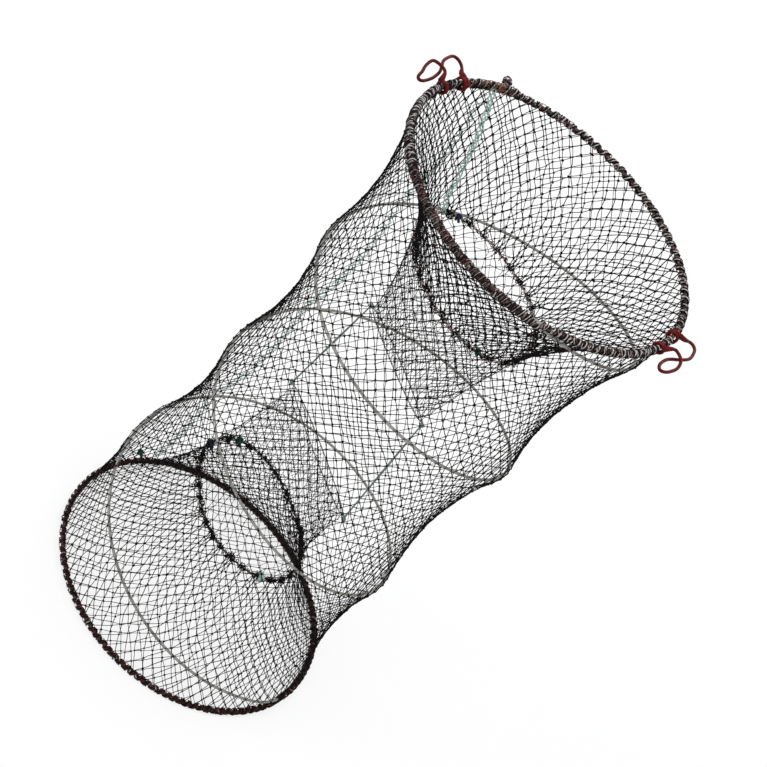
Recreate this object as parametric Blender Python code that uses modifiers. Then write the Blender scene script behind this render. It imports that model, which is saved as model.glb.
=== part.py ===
"""Collapsible crayfish trap: a spring of steel wire that holds a tube of knotted netting open.

The trap stands upright on its bottom ring. Z is the trap's axis, and the origin is on the floor
at its middle. Lengths are in metres. An azimuth turns about Z, from +X towards +Y. A place in a
ring's cross-section is an angle from the outward direction, towards +Z, and a distance.
"""
import math

import bpy
import numpy as np
from mathutils import Vector

# Rings: the spring's two end turns, doubled over part of the way round
RING_RADIUS = 0.145
RING_SPACING = 0.591
RING_SEGMENTS = 48
WIRE_DIAMETER = 0.003
STRAND_GAP = 0.0003
END_TURNS = 1.44
# Azimuth kept clear at each end of the stretch where the wire changes from one strand to the other
STRAND_CHANGE_MARGIN = 0.3
# Least share of a ring segment between a tube's end and its next corner
CORNER_MARGIN = 0.3
# Distance under which a turned profile's closing points become one
MERGE_DISTANCE = 0.00005

# Whipping: twine bound round each ring over the net's gathered edge
WHIPPING_CLEARANCE = 0.00055
WHIPPING_THICKNESS = 0.0012
SLOT_CLEARANCE = 0.0007
SLOT_ANGLE = math.radians(105)
REST_FACET = math.radians(40)
WHIPPING_OUTER_CORNERS = 4
WHIPPING_INNER_CORNERS = 7

# Spring: free turns from the top ring down to the bottom ring, read every half turn or so
SPRING_TURNS = 3.15
SPRING_START = math.radians(-56.25)
SPRING_HEIGHTS = (0.591, 0.472, 0.381, 0.294, 0.198, 0.109, 0.0)
SPRING_RADII = (0.145, 0.1315, 0.132, 0.1325, 0.1315, 0.1285, 0.145)
# Each turn leans a little, (degrees, azimuth of the raised side), and stands a little off centre
SPRING_LEANS = ((0, 0), (7.9, -56), (5.8, -42), (2.0, -105), (3.5, 169), (0, 0))
SPRING_SHIFTS = ((0, 0), (0.0018, -32), (0.0019, 75), (0.0049, -23), (0.0106, 173), (0, 0))
SPRING_POINTS_PER_TURN = 24
# The wire eases out of a ring through the slot, then runs at a slope until it joins its free curve
SPRING_EXIT_SLOPE = 0.26
SPRING_EXIT_EASE = 0.010
SPRING_EXIT_STATIONS = (0, 0.006, 0.016)
SPRING_EXIT_RUN = 0.024
SPRING_JOIN_RUN = 0.072
WIRE_END_GAP = 0.0005

# Netting
CLIP_AZIMUTH = math.radians(4.75)
NET_PHASE = CLIP_AZIMUTH
NET_MESHES = 12
NET_BAR = 0.0016
BODY_ROWS = 14
FUNNEL_ROWS = 4
SOCK_ROWS = 4
BODY_SEAT = math.radians(58)
FUNNEL_SEAT = math.radians(168)
FUNNEL_RIM_ANGLE = math.radians(60)
WAIST_PER_METRE = 0.40
FUNNEL_SAG = 0.006
SEAT_GAP = 0.0003
# How far a net's pointed edge meshes reach past their corners
NET_TIP = 0.0013
SOCK_TIP = 0.0020
# Places read along each stretch, and most rounds, while a net or lacing is pushed off the spring
CLEARANCE_SAMPLES = 33
CLEARANCE_ROUNDS = 30

# Throats: where a funnel ends in a cord and a flattened sock begins
RIM_CORD_DIAMETER = 0.0032
RIM_POINTS = 30
TOP_RIM_DEPTH = 0.107
BOTTOM_RIM_DEPTH = 0.1136
# Rim radius, then the two corners that it is pulled out to, as azimuth in degrees and radius
TOP_RIM = (0.062, (153, 0.089), (-34, 0.0775))
BOTTOM_RIM = (0.056, (148, 0.098), (-22, 0.067))
RIM_PULL_SHARPNESS = 14
TOP_SLIT_HEIGHT = 0.3616
BOTTOM_SLIT_HEIGHT = 0.2224
# The slit's corners, as azimuth in degrees and radius
TOP_SLIT = ((152.7, 0.0725), (-20.4, 0.0534))
BOTTOM_SLIT = ((148.3, 0.0851), (-16.8, 0.0638))
SLIT_HALF_WIDTH = 0.006

# Cords, lacings and knots
GUY_DIAMETER = 0.0018
GUY_POINTS = 9
LACING_DIAMETER = 0.0016
LACING_STEP = 0.02
LACING_SLACK = 0.0003
# Where the body's lacing ends on a ring, and where it bends to meet the net, off the outward side
LACING_END_ANGLE = math.radians(20)
LACING_BEND_ANGLE = math.radians(48)
FUNNEL_LACING_START = math.radians(155)
FUNNEL_LACING_RISE = math.radians(26.5)
KNOT_RADIUS = 0.003
KNOT_SIDES = 12
RIM_KNOT_RADIUS = 0.0036
RIM_KNOT_TAPER = 0.0008
RIM_KNOT_LENGTH = 0.008
KNOT_BORE_CLEARANCE = 0.0005
SEAM_KNOT_RADIUS = 0.0035
SEAM_KNOT_AZIMUTH = math.radians(160)
SEAM_KNOT_ANGLE = math.radians(30)
WHIPPING_KNOT_RADIUS = 0.005
WHIPPING_KNOT_AZIMUTH = math.radians(146.25)
WHIPPING_KNOT_ANGLE = math.radians(5)
LASHING_START = math.radians(149.2)
LASHING_END = math.radians(152.4)
LASHING_THICKNESS = 0.001
LASHING_CLEARANCE = 0.0005
LASHING_SIDES = 12

# Clips: one bent wire each, wound round the ring at two feet
CLIP_WIRE = 0.003
CLIP_WRAP_CLEARANCE = 0.0009
CLIP_WRAP_PITCH = 0.0036
CLIP_WRAP_TURNS = 1.75
CLIP_WRAP_POINTS = 12
CLIP_FOOT_OFFSET = 0.014
CLIP_STEP = 0.0045
# Where the wire leaves a wrap for the loops, off the outward side
CLIP_LEAVE_ANGLE = math.radians(50)
# Each clip's loops between its feet: along the ring, outwards, and height over the ring's plane
RIGHT_CLIP_LOOPS = (
    (0.0210, 0.0085, 0.0026), (0.0268, 0.0112, 0.0006), (0.0296, 0.0148, 0), (0.0283, 0.0186, 0),
    (0.0232, 0.0216, 0), (0.0101, 0.0233, 0), (-0.0018, 0.0190, 0), (-0.0113, 0.0141, 0),
    (-0.0182, 0.0115, 0), (-0.0266, 0.0106, 0), (-0.0329, 0.0113, 0), (-0.0368, 0.0140, 0),
    (-0.0350, 0.0172, 0), (-0.0285, 0.0204, 0), (-0.0179, 0.0228, 0.0018), (-0.0085, 0.0199, 0.0038),
    (-0.0043, 0.0134, 0.0042), (-0.0068, 0.0088, 0.0050),
)
LEFT_CLIP_LOOPS = (
    (0.0195, 0.0082, 0.0032), (0.0249, 0.0122, 0.0026), (0.0271, 0.0170, 0.0036),
    (0.0259, 0.0223, 0.0047), (0.0202, 0.0252, 0.0054), (0.0071, 0.0232, 0.0049),
    (0.0003, 0.0188, 0.0040), (-0.0071, 0.0136, 0.0029), (-0.0177, 0.0104, 0.0014),
    (-0.0262, 0.0096, 0.0006), (-0.0338, 0.0098, 0.0004), (-0.0378, 0.0118, 0.0010),
    (-0.0364, 0.0144, 0.0022), (-0.0298, 0.0170, 0.0036), (-0.0214, 0.0214, 0.0052),
    (-0.0113, 0.0232, 0.0072), (-0.0070, 0.0165, 0.0077), (-0.0071, 0.0097, 0.0069),
)

# Worked out from the sizes above
RING_MEAN_RADIUS = RING_RADIUS * (1 + math.cos(math.pi / RING_SEGMENTS)) / 2
STRAND_OFFSET = (WIRE_DIAMETER + STRAND_GAP) / 2
WHIPPING_BORE = STRAND_OFFSET + WIRE_DIAMETER / 2 + WHIPPING_CLEARANCE
WHIPPING_RADIUS = WHIPPING_BORE + WHIPPING_THICKNESS
SLOT_HALF = WIRE_DIAMETER / 2 + SLOT_CLEARANCE
BOTTOM_Z = WHIPPING_RADIUS * math.cos(REST_FACET / 2)
TOP_Z = BOTTOM_Z + RING_SPACING
SPRING_END = SPRING_START + SPRING_TURNS * math.tau
HALF_MESH = math.pi / NET_MESHES
NET_SEAT = WHIPPING_RADIUS + SEAT_GAP + NET_BAR / 2
FUNNEL_RIM_SEAT = RIM_CORD_DIAMETER / 2 + SEAT_GAP + NET_TIP
SOCK_RIM_SEAT = RIM_CORD_DIAMETER / 2 + SEAT_GAP + SOCK_TIP
SEAM_AZIMUTH = NET_PHASE + 10 * HALF_MESH
LACING_LIFT = NET_BAR / 2 + SEAT_GAP + LACING_DIAMETER / 2 + LACING_SLACK
CLIP_WRAP_RADIUS = WHIPPING_RADIUS + CLIP_WIRE / 2 + CLIP_WRAP_CLEARANCE

COLOURS = {
    "steel wire": ((0.33, 0.33, 0.32), 0.38, 1.0),
    "ring steel": ((0.30, 0.29, 0.28), 0.42, 1.0),
    "whipping twine": ((0.075, 0.045, 0.045), 0.85, 0.0),
    "net thread": ((0.030, 0.024, 0.022), 0.80, 0.0),
    "throat cord": ((0.060, 0.035, 0.032), 0.85, 0.0),
    "clip coating": ((0.30, 0.035, 0.025), 0.35, 0.0),
    "orange twine": ((0.42, 0.13, 0.07), 0.80, 0.0),
    "pale green thread": ((0.32, 0.60, 0.50), 0.70, 0.0),
    "dark green cord": ((0.05, 0.17, 0.12), 0.75, 0.0),
    "blue cord": ((0.02, 0.05, 0.14), 0.75, 0.0),
}


# Scene helpers

def clear_scene():
    for obj in list(bpy.data.objects):
        bpy.data.objects.remove(obj, do_unlink=True)
    for collection in list(bpy.data.collections):
        bpy.data.collections.remove(collection)


def new_collection(name):
    collection = bpy.data.collections.new(name)
    bpy.context.scene.collection.children.link(collection)
    return collection


def material(name):
    found = bpy.data.materials.get(name)
    if found:
        return found
    colour, roughness, metallic = COLOURS[name]
    made = bpy.data.materials.new(name)
    made.use_nodes = True
    shader = made.node_tree.nodes["Principled BSDF"]
    shader.inputs["Base Color"].default_value = (*colour, 1)
    shader.inputs["Roughness"].default_value = roughness
    shader.inputs["Metallic"].default_value = metallic
    made.diffuse_color = (*colour, 1)
    return made


def add_object(name, data, finish, height=0.0, parent=None):
    obj = bpy.data.objects.new(name, data)
    data.materials.append(material(finish))
    PARTS.objects.link(obj)
    obj.location = (0, 0, height)
    obj.parent = parent
    return obj


def add_empty(name, location, azimuth=0.0, parent=None):
    obj = bpy.data.objects.new(name, None)
    obj.empty_display_size = 0.02
    PARTS.objects.link(obj)
    obj.location = location
    obj.rotation_euler = (0, 0, azimuth)
    obj.parent = parent
    return obj


def add_mesh(name, points, faces, finish, height=0.0, parent=None):
    mesh = bpy.data.meshes.new(name)
    mesh.from_pydata([tuple(map(float, p)) for p in points], [], faces)
    mesh.validate()
    return add_object(name, mesh, finish, height, parent)


def add_tube(name, points, diameter, resolution, finish, closed=False, height=0.0, parent=None):
    curve = bpy.data.curves.new(name, "CURVE")
    curve.dimensions = "3D"
    curve.bevel_depth = diameter / 2
    curve.bevel_resolution = resolution
    curve.use_fill_caps = not closed
    spline = curve.splines.new("POLY")
    spline.points.add(len(points) - 1)
    for target, point in zip(spline.points, points):
        target.co = (*map(float, point), 1)
    spline.use_cyclic_u = closed
    spline.use_smooth = True
    return add_object(name, curve, finish, height, parent)


def shade_smooth(obj, angle=math.radians(35)):
    obj.data.shade_smooth()
    obj.data.set_sharp_from_angle(angle=angle)


# Curves and routes

def natural_curve(values, turns, at):
    """Smooth curve through evenly spaced values, read at the given number of turns."""
    values = np.asarray(values, float)
    last = len(values) - 1
    system = np.zeros((last + 1, last + 1))
    right = np.zeros(last + 1)
    system[0, :3] = (1, -2, 1)
    system[last, last - 2:] = (1, -2, 1)
    for i in range(1, last):
        system[i, i - 1:i + 2] = (1, 4, 1)
        right[i] = 6 * (values[i - 1] - 2 * values[i] + values[i + 1])
    bends = np.linalg.solve(system, right)
    place = np.clip(np.asarray(at, float) / turns, 0, 1) * last
    left = np.minimum(place.astype(int), last - 1)
    f = place - left
    g = 1 - f
    return (g * values[left] + f * values[left + 1]
            + ((g ** 3 - g) * bends[left] + (f ** 3 - f) * bends[left + 1]) / 6)


def smooth_route(points, step):
    """Points a step apart on a smooth curve through the given ones, its two ends kept."""
    points = np.asarray(points, float)
    padded = np.vstack([2 * points[0] - points[1], points, 2 * points[-1] - points[-2]])
    route = []
    for i in range(1, len(padded) - 2):
        before, start, end, after = padded[i - 1:i + 3]
        count = max(2, round(float(np.linalg.norm(end - start)) / step))
        for k in range(count):
            t = k / count
            route.append(0.5 * (2 * start + (end - before) * t
                                + (2 * before - 5 * start + 4 * end - after) * t ** 2
                                + (3 * start - before - 3 * end + after) * t ** 3))
    route.append(points[-1])
    return np.array(route)


def least_self_gap(points, diameter, apart):
    """Least free space between stretches of one tube that lie more than apart points from each other."""
    points = np.asarray(points)
    distances = np.linalg.norm(points[:, None] - points[None], axis=2)
    index = np.arange(len(points))
    far = np.abs(index[:, None] - index[None]) > apart
    return float(distances[far].min() - diameter)


def distance_to_route(points, route):
    """Distance from each point to the nearest place on a route's straight stretches."""
    starts, spans = route[:-1], np.diff(route, axis=0)
    offsets = points[:, None] - starts[None]
    share = np.clip((offsets * spans).sum(axis=2) / (spans ** 2).sum(axis=1), 0, 1)
    return np.linalg.norm(offsets - share[..., None] * spans, axis=2).min(axis=1)


def push_clear(points, stretches, route, needed, fixed):
    """Move the ends of straight stretches away from the axis until the stretches clear a route."""
    points = np.array(points, float)
    fractions = np.linspace(0, 1, CLEARANCE_SAMPLES)[:, None]
    for _ in range(CLEARANCE_ROUNDS):
        push = np.zeros(len(points))
        for start, end in stretches:
            along = points[start] + (points[end] - points[start]) * fractions
            short = needed - distance_to_route(along, route).min()
            if short > 0:
                push[start] = max(push[start], short)
                push[end] = max(push[end], short)
        push[fixed] = 0
        if not push.any():
            break
        points[:, :2] *= 1 + (push / np.linalg.norm(points[:, :2], axis=1))[:, None]
    return points


def smoothstep(value):
    value = min(max(value, 0.0), 1.0)
    return value * value * (3 - 2 * value)


# Rings

def ring_radius_at(azimuth):
    """Distance from the axis to the ring's centreline, whose corners lie on the net's columns."""
    step = math.tau / RING_SEGMENTS
    off = (azimuth - NET_PHASE) % step - step / 2
    return RING_RADIUS * math.cos(step / 2) / math.cos(off)


def on_ring(azimuth, angle, distance, height=0.0):
    """Point at an angle and a distance from the ring's centreline."""
    radius = ring_radius_at(azimuth) + distance * math.cos(angle)
    return np.array((radius * math.cos(azimuth), radius * math.sin(azimuth),
                     height + distance * math.sin(angle)))


def ring_azimuths(start, end):
    """Both ends, and the ring's corners between them, in the order of travel."""
    step = math.tau / RING_SEGMENTS
    low, high = min(start, end), max(start, end)
    first = math.ceil((low - NET_PHASE) / step + CORNER_MARGIN)
    last = math.floor((high - NET_PHASE) / step - CORNER_MARGIN)
    inner = [NET_PHASE + k * step for k in range(first, last + 1)]
    azimuths = [low, *inner, high]
    return azimuths if start < end else azimuths[::-1]


def ring_wire_route(start, way, side):
    """End turn of the spring, doubled where it overlaps itself: it changes strand in between."""
    sweep = END_TURNS * math.tau
    doubled = sweep - math.tau
    points = []
    for azimuth in ring_azimuths(start, start + way * sweep):
        done = abs(azimuth - start) - doubled - STRAND_CHANGE_MARGIN
        change = smoothstep(done / (math.tau - doubled - 2 * STRAND_CHANGE_MARGIN))
        offset = side * STRAND_OFFSET * (1 - 2 * change)
        points.append(on_ring(azimuth, math.pi / 2, offset))
    return points


def make_whipping(name, upside_down, height, parent=None):
    """Turned sleeve, open along a slot where the spring wire leaves it, with one facet to rest on."""
    slot_outer = math.asin(SLOT_HALF / WHIPPING_RADIUS)
    slot_inner = math.asin(SLOT_HALF / WHIPPING_BORE)
    half = REST_FACET / 2
    down = -math.pi / 2
    outer = [*np.linspace(SLOT_ANGLE - slot_outer, down + half, WHIPPING_OUTER_CORNERS),
             *np.linspace(down - half, SLOT_ANGLE + slot_outer - math.tau, WHIPPING_OUTER_CORNERS)]
    inner = np.linspace(SLOT_ANGLE + slot_inner - math.tau, SLOT_ANGLE - slot_inner, WHIPPING_INNER_CORNERS)
    profile = [(WHIPPING_RADIUS, a) for a in outer] + [(WHIPPING_BORE, a) for a in inner]
    points = [(RING_RADIUS + r * math.cos(a), 0, r * math.sin(a)) for r, a in profile]
    mesh = bpy.data.meshes.new(name)
    edges = [(i, (i + 1) % len(points)) for i in range(len(points))]
    mesh.from_pydata(points, edges, [])
    obj = add_object(name, mesh, "whipping twine", height, parent)
    obj.rotation_euler = (math.pi if upside_down else 0, 0, NET_PHASE)
    turn = obj.modifiers.new("Turn", "SCREW")
    turn.steps = RING_SEGMENTS
    turn.render_steps = RING_SEGMENTS
    turn.use_merge_vertices = True
    turn.merge_threshold = MERGE_DISTANCE
    turn.use_smooth_shade = True
    return obj


def make_lashing(parent):
    """Short sleeve of orange twine bound over the whipping."""
    azimuths = ring_azimuths(LASHING_START, LASHING_END)
    points = [on_ring(a, 0, 0) for a in azimuths]
    inner = (WHIPPING_RADIUS + LASHING_CLEARANCE) / math.cos(math.pi / LASHING_SIDES)
    resolution = (LASHING_SIDES - 4) // 2
    obj = add_tube("top_ring_lashing", points, 2 * (inner + LASHING_THICKNESS), resolution, "orange twine",
                   parent=parent)
    obj.data.use_fill_caps = False
    wall = obj.modifiers.new("Wall", "SOLIDIFY")
    wall.thickness = LASHING_THICKNESS
    wall.offset = -1
    wall.use_rim = True
    return obj


# Spring

def spring_point(turn):
    """Centre of the spring wire, as many turns down from the top ring."""
    height = natural_curve(SPRING_HEIGHTS, SPRING_TURNS, turn)
    radius = natural_curve(SPRING_RADII, SPRING_TURNS, turn)
    leans = np.array([(math.radians(d) * math.cos(math.radians(a)),
                       math.radians(d) * math.sin(math.radians(a))) for d, a in SPRING_LEANS])
    shifts = np.array([(d * math.cos(math.radians(a)), d * math.sin(math.radians(a)))
                       for d, a in SPRING_SHIFTS])
    lean = [float(natural_curve(leans[:, k], SPRING_TURNS, turn)) for k in (0, 1)]
    shift = [float(natural_curve(shifts[:, k], SPRING_TURNS, turn)) for k in (0, 1)]
    azimuth = SPRING_START + turn * math.tau
    x = float(radius) * math.cos(azimuth)
    y = float(radius) * math.sin(azimuth)
    return np.array((x + shift[0], y + shift[1], float(height) + lean[0] * x + lean[1] * y))


def spring_route():
    """Whole free spring: it leaves each ring's strand through the slot, then follows its own curve."""
    count = round(SPRING_TURNS * SPRING_POINTS_PER_TURN)
    eased = [run / (math.tau * RING_RADIUS) for run in SPRING_EXIT_STATIONS]
    middle = np.linspace(0, SPRING_TURNS, count + 1)[1:-1]
    turns = [*eased, *middle, *(SPRING_TURNS - turn for turn in reversed(eased))]
    return np.array([leave_rings(turn) for turn in turns])


def leave_rings(turn):
    """Place on the spring, guided through a ring's slot near either end."""
    point = spring_point(turn)
    run_down = turn * math.tau * RING_RADIUS
    run_up = (SPRING_TURNS - turn) * math.tau * RING_RADIUS
    run = min(run_down, run_up)
    if run > SPRING_JOIN_RUN:
        return point
    up = -1 if run_down < run_up else 1
    height = RING_SPACING if run_down < run_up else 0.0
    azimuth = SPRING_START + turn * math.tau
    if run < SPRING_EXIT_EASE:
        depth = SPRING_EXIT_SLOPE * run ** 2 / (2 * SPRING_EXIT_EASE)
    else:
        depth = SPRING_EXIT_SLOPE * (run - SPRING_EXIT_EASE / 2)
    inward = depth / math.tan(SLOT_ANGLE)
    radius = ring_radius_at(azimuth) + inward
    guided = np.array((radius * math.cos(azimuth), radius * math.sin(azimuth),
                       height + up * (STRAND_OFFSET + depth)))
    share = smoothstep((run - SPRING_EXIT_RUN) / (SPRING_JOIN_RUN - SPRING_EXIT_RUN))
    return guided + share * (point - guided)


# Netting

def lattice(rows, place):
    """Diamond meshes: points on every other column and row, one four-sided face for each gap."""
    columns = 2 * NET_MESHES
    index = {}
    points = []
    for row in range(rows + 1):
        for column in range(columns):
            if (row + column) % 2 == 0:
                index[row, column] = len(points)
                points.append(place(row, NET_PHASE + column * HALF_MESH))
    faces = []
    for row in range(1, rows):
        for column in range(columns):
            if (row + column) % 2:
                left = index[row, (column - 1) % columns]
                right = index[row, (column + 1) % columns]
                faces.append((left, index[row - 1, column], right, index[row + 1, column]))
    return np.array(points), faces


def make_net(name, points, faces, height):
    net = add_mesh(name, points, faces, "net thread", height)
    bars = net.modifiers.new("Bars", "WIREFRAME")
    bars.thickness = NET_BAR
    bars.use_boundary = True
    bars.use_even_offset = True
    bars.use_replace = True
    return net


def spring_supports(azimuth, tips):
    """Heights and radii that hold the net out at an azimuth: the ring seats and the spring's turns."""
    supports = [tips[0]]
    first = ((azimuth - SPRING_START) / math.tau) % 1
    clear = WIRE_DIAMETER / 2 + SEAT_GAP + NET_BAR
    for turn in np.arange(first, SPRING_TURNS, 1):
        point = spring_point(turn)
        supports.append((point[2], math.hypot(point[0], point[1]) + clear))
    supports.append(tips[1])
    return [s for s in sorted(supports, reverse=True) if tips[1][0] <= s[0] <= tips[0][0]]


def body_net_radius(azimuth, height, tips):
    """The net is drawn in to a waist between the turns that hold it out."""
    supports = spring_supports(azimuth, tips)
    for (high, outer), (low, inner) in zip(supports, supports[1:]):
        if low <= height <= high and high > low:
            f = (high - height) / (high - low)
            waist = WAIST_PER_METRE * (high - low) ** 2 * 4 * f * (1 - f)
            return outer + (inner - outer) * f - waist
    return tips[0][1]


def seat_on_spring(points, faces, route):
    """Bars that would touch the spring wire are moved out until they clear it."""
    needed = (WIRE_DIAMETER + NET_BAR * math.sqrt(2)) / 2 + SEAT_GAP
    bars = sorted({tuple(sorted(pair)) for face in faces for pair in zip(face, face[1:] + face[:1])})
    heights = points[:, 2]
    fixed = np.isclose(heights, heights.max()) | np.isclose(heights, heights.min())
    return push_clear(points, bars, route, needed, fixed)


def body_net_points(route):
    seat_out = NET_SEAT * math.cos(BODY_SEAT)
    seat_in = NET_SEAT * math.sin(BODY_SEAT)
    tips = ((RING_SPACING - seat_in, RING_RADIUS + seat_out), (seat_in, RING_RADIUS + seat_out))

    def place(row, azimuth):
        height = tips[0][0] + (tips[1][0] - tips[0][0]) * row / BODY_ROWS
        radius = body_net_radius(azimuth, height, tips)
        return radius * math.cos(azimuth), radius * math.sin(azimuth), height

    points, faces = lattice(BODY_ROWS, place)
    return seat_on_spring(points, faces, route), faces


# Throats, all written for the top one: depth is measured down from the top ring's plane

def rim_radius(rim, azimuth):
    radius, *corners = rim
    pull = 0.0
    for degrees, reach in corners:
        near = abs(math.cos((azimuth - math.radians(degrees)) / 2))
        pull += (reach - radius) * near ** RIM_PULL_SHARPNESS
    return radius + pull


def rim_azimuth(rim_turn):
    return NET_PHASE + rim_turn * math.tau


def around_rim(rim, azimuth, angle, distance, height):
    radius = rim_radius(rim, azimuth) + distance * math.cos(angle)
    return np.array((radius * math.cos(azimuth), radius * math.sin(azimuth),
                     height + distance * math.sin(angle)))


def slit_point(slit, azimuth, spread=0.0):
    """Flattened end of the sock: a long thin loop between its two corners."""
    corners = [np.array((r * math.cos(math.radians(a)), r * math.sin(math.radians(a)))) for a, r in slit]
    middle = (corners[0] + corners[1]) / 2
    along = (corners[0] - corners[1]) / 2
    along *= 1 + spread / np.linalg.norm(along)
    across = np.array((-along[1], along[0])) / np.linalg.norm(along) * SLIT_HALF_WIDTH
    turn = azimuth - math.radians(slit[0][0])
    return middle + along * math.cos(turn) + across * math.sin(turn)


def funnel_net(rim, depth, way):
    """From the ring's inner side to the rim. way is -1 for the top throat, 1 for the bottom one."""
    start_out = NET_SEAT * math.cos(FUNNEL_SEAT)
    start_down = NET_SEAT * math.sin(FUNNEL_SEAT)
    end_out = FUNNEL_RIM_SEAT * math.cos(FUNNEL_RIM_ANGLE)
    end_down = depth - FUNNEL_RIM_SEAT * math.sin(FUNNEL_RIM_ANGLE)

    def place(row, azimuth):
        f = row / FUNNEL_ROWS
        start = np.array((ring_radius_at(azimuth) + start_out, start_down))
        end = np.array((rim_radius(rim, azimuth) + end_out, end_down))
        radius, down = start + (end - start) * f
        radius -= FUNNEL_SAG * 4 * f * (1 - f)
        return radius * math.cos(azimuth), radius * math.sin(azimuth), way * down

    points, faces = lattice(FUNNEL_ROWS, place)
    return points, faces if way < 0 else [face[::-1] for face in faces]


def sock_net(rim, slit, depth, slit_depth, way):
    """From just past the rim to the slit. Depths are from the throat's own ring."""
    start_down = depth + SOCK_RIM_SEAT

    def place(row, azimuth):
        f = row / SOCK_ROWS
        radius = rim_radius(rim, azimuth)
        start = np.array((radius * math.cos(azimuth), radius * math.sin(azimuth)))
        x, y = start + (slit_point(slit, azimuth) - start) * f
        return x, y, way * (start_down + (slit_depth - start_down) * f)

    points, faces = lattice(SOCK_ROWS, place)
    return points, faces if way < 0 else [face[::-1] for face in faces]


def rim_route(rim):
    return [around_rim(rim, rim_azimuth(k / RIM_POINTS), 0, 0, 0) for k in range(RIM_POINTS)]


# Knots, guys and lacings

def make_knot(name, place, radius, finish, parent=None):
    """Pulled-tight knot, as a ball a little longer than wide, in its own place."""
    bpy.ops.mesh.primitive_uv_sphere_add(segments=10, ring_count=6, radius=radius)
    obj = bpy.context.active_object
    obj.name = name
    obj.data.name = name
    for collection in list(obj.users_collection):
        collection.objects.unlink(obj)
    PARTS.objects.link(obj)
    obj.data.materials.append(material(finish))
    obj.location = [float(v) for v in place]
    obj.parent = parent
    shade_smooth(obj)
    return obj


def make_rim_knot(name, rim, azimuth, finish, parent):
    """Knot that grips the rim cord, with the cord through it."""
    bore = RIM_CORD_DIAMETER / 2 + KNOT_BORE_CLEARANCE
    half = RIM_KNOT_LENGTH / 2
    end_radius = RIM_KNOT_RADIUS - RIM_KNOT_TAPER
    bulge = [(end_radius, half), (RIM_KNOT_RADIUS, half / 2), (RIM_KNOT_RADIUS, -half / 2),
             (end_radius, -half), (bore, -half), (bore, half)]
    mesh = bpy.data.meshes.new(name)
    edges = [(i, (i + 1) % len(bulge)) for i in range(len(bulge))]
    mesh.from_pydata([(r, 0, z) for r, z in bulge], edges, [])
    obj = add_object(name, mesh, finish, parent=parent)
    turn = obj.modifiers.new("Turn", "SCREW")
    turn.steps = KNOT_SIDES
    turn.render_steps = KNOT_SIDES
    turn.use_merge_vertices = True
    turn.merge_threshold = MERGE_DISTANCE
    step = math.tau / RIM_POINTS
    whole = round((azimuth - NET_PHASE) / step - 0.5)
    start = around_rim(rim, rim_azimuth(whole / RIM_POINTS), 0, 0, 0)
    end = around_rim(rim, rim_azimuth((whole + 1) / RIM_POINTS), 0, 0, 0)
    obj.location = [float(v) for v in (start + end) / 2]
    obj.rotation_mode = "QUATERNION"
    obj.rotation_quaternion = Vector([float(v) for v in end - start]).to_track_quat("Z", "Y")
    return obj


def make_guy(side, corner):
    """Cord that ties a corner of one sock to the same corner of the other, a knot at each end."""
    ends = []
    for where, slit, height, way in (("upper", TOP_SLIT, TOP_SLIT_HEIGHT, -1),
                                     ("lower", BOTTOM_SLIT, BOTTOM_SLIT_HEIGHT, 1)):
        azimuth = math.radians(slit[0][0]) + (0 if corner == 0 else math.pi)
        reach = KNOT_RADIUS + SEAT_GAP + NET_BAR / 4
        x, y = slit_point(slit, azimuth, reach)
        centre = np.array((x, y, height))
        make_knot(f"{where}_{side}_guy_knot", centre + np.array((0, 0, BOTTOM_Z)), KNOT_RADIUS,
                  "dark green cord")
        ends.append(centre)
    direction = (ends[1] - ends[0]) / np.linalg.norm(ends[1] - ends[0])
    start = ends[0] + direction * (KNOT_RADIUS + SEAT_GAP)
    end = ends[1] - direction * (KNOT_RADIUS + SEAT_GAP)
    points = np.linspace(start, end, GUY_POINTS)
    return add_tube(f"{side}_guy_cord", points, GUY_DIAMETER, 2, "dark green cord", height=BOTTOM_Z)


def seam_column(net_points):
    """A net's corners on the column where its two edges meet, from the top down."""
    azimuths = np.arctan2(net_points[:, 1], net_points[:, 0])
    column = [p for p, a in zip(net_points, azimuths) if abs(a - SEAM_AZIMUTH) < HALF_MESH / 4]
    return sorted(column, key=lambda p: -p[2])


def body_lacing_route(net_points, spring):
    """Down the outside of the body net, on the column where its two edges meet."""
    out = np.array((math.cos(SEAM_AZIMUTH), math.sin(SEAM_AZIMUTH), 0))
    distance = WHIPPING_RADIUS + SEAT_GAP + LACING_DIAMETER / 2
    top = on_ring(SEAM_AZIMUTH, -LACING_END_ANGLE, distance, RING_SPACING)
    bottom = on_ring(SEAM_AZIMUTH, LACING_END_ANGLE, distance)
    near_top = on_ring(SEAM_AZIMUTH, -LACING_BEND_ANGLE, distance + NET_BAR, RING_SPACING)
    near_bottom = on_ring(SEAM_AZIMUTH, LACING_BEND_ANGLE, distance + NET_BAR)
    inner = [p + out * LACING_LIFT for p in seam_column(net_points)[1:-1]]
    route = smooth_route([top, near_top, *inner, near_bottom, bottom], LACING_STEP)
    needed = (WIRE_DIAMETER + LACING_DIAMETER) / 2 + SEAT_GAP
    fixed = np.zeros(len(route), bool)
    fixed[[0, 1, -2, -1]] = True
    return push_clear(route, [(k, k + 1) for k in range(len(route) - 1)], spring, needed, fixed)


def funnel_lacing_route(net_points):
    """Along the inner side of the top funnel, on the same column."""
    level = -math.cos(FUNNEL_LACING_RISE)
    inwards = np.array((level * math.cos(SEAM_AZIMUTH), level * math.sin(SEAM_AZIMUTH),
                        math.sin(FUNNEL_LACING_RISE)))
    start = on_ring(SEAM_AZIMUTH, FUNNEL_LACING_START, WHIPPING_RADIUS + SEAT_GAP + LACING_DIAMETER / 2)
    points = [start, *(p + inwards * LACING_LIFT for p in seam_column(net_points))]
    return smooth_route(points, LACING_STEP)


# Clips

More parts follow.
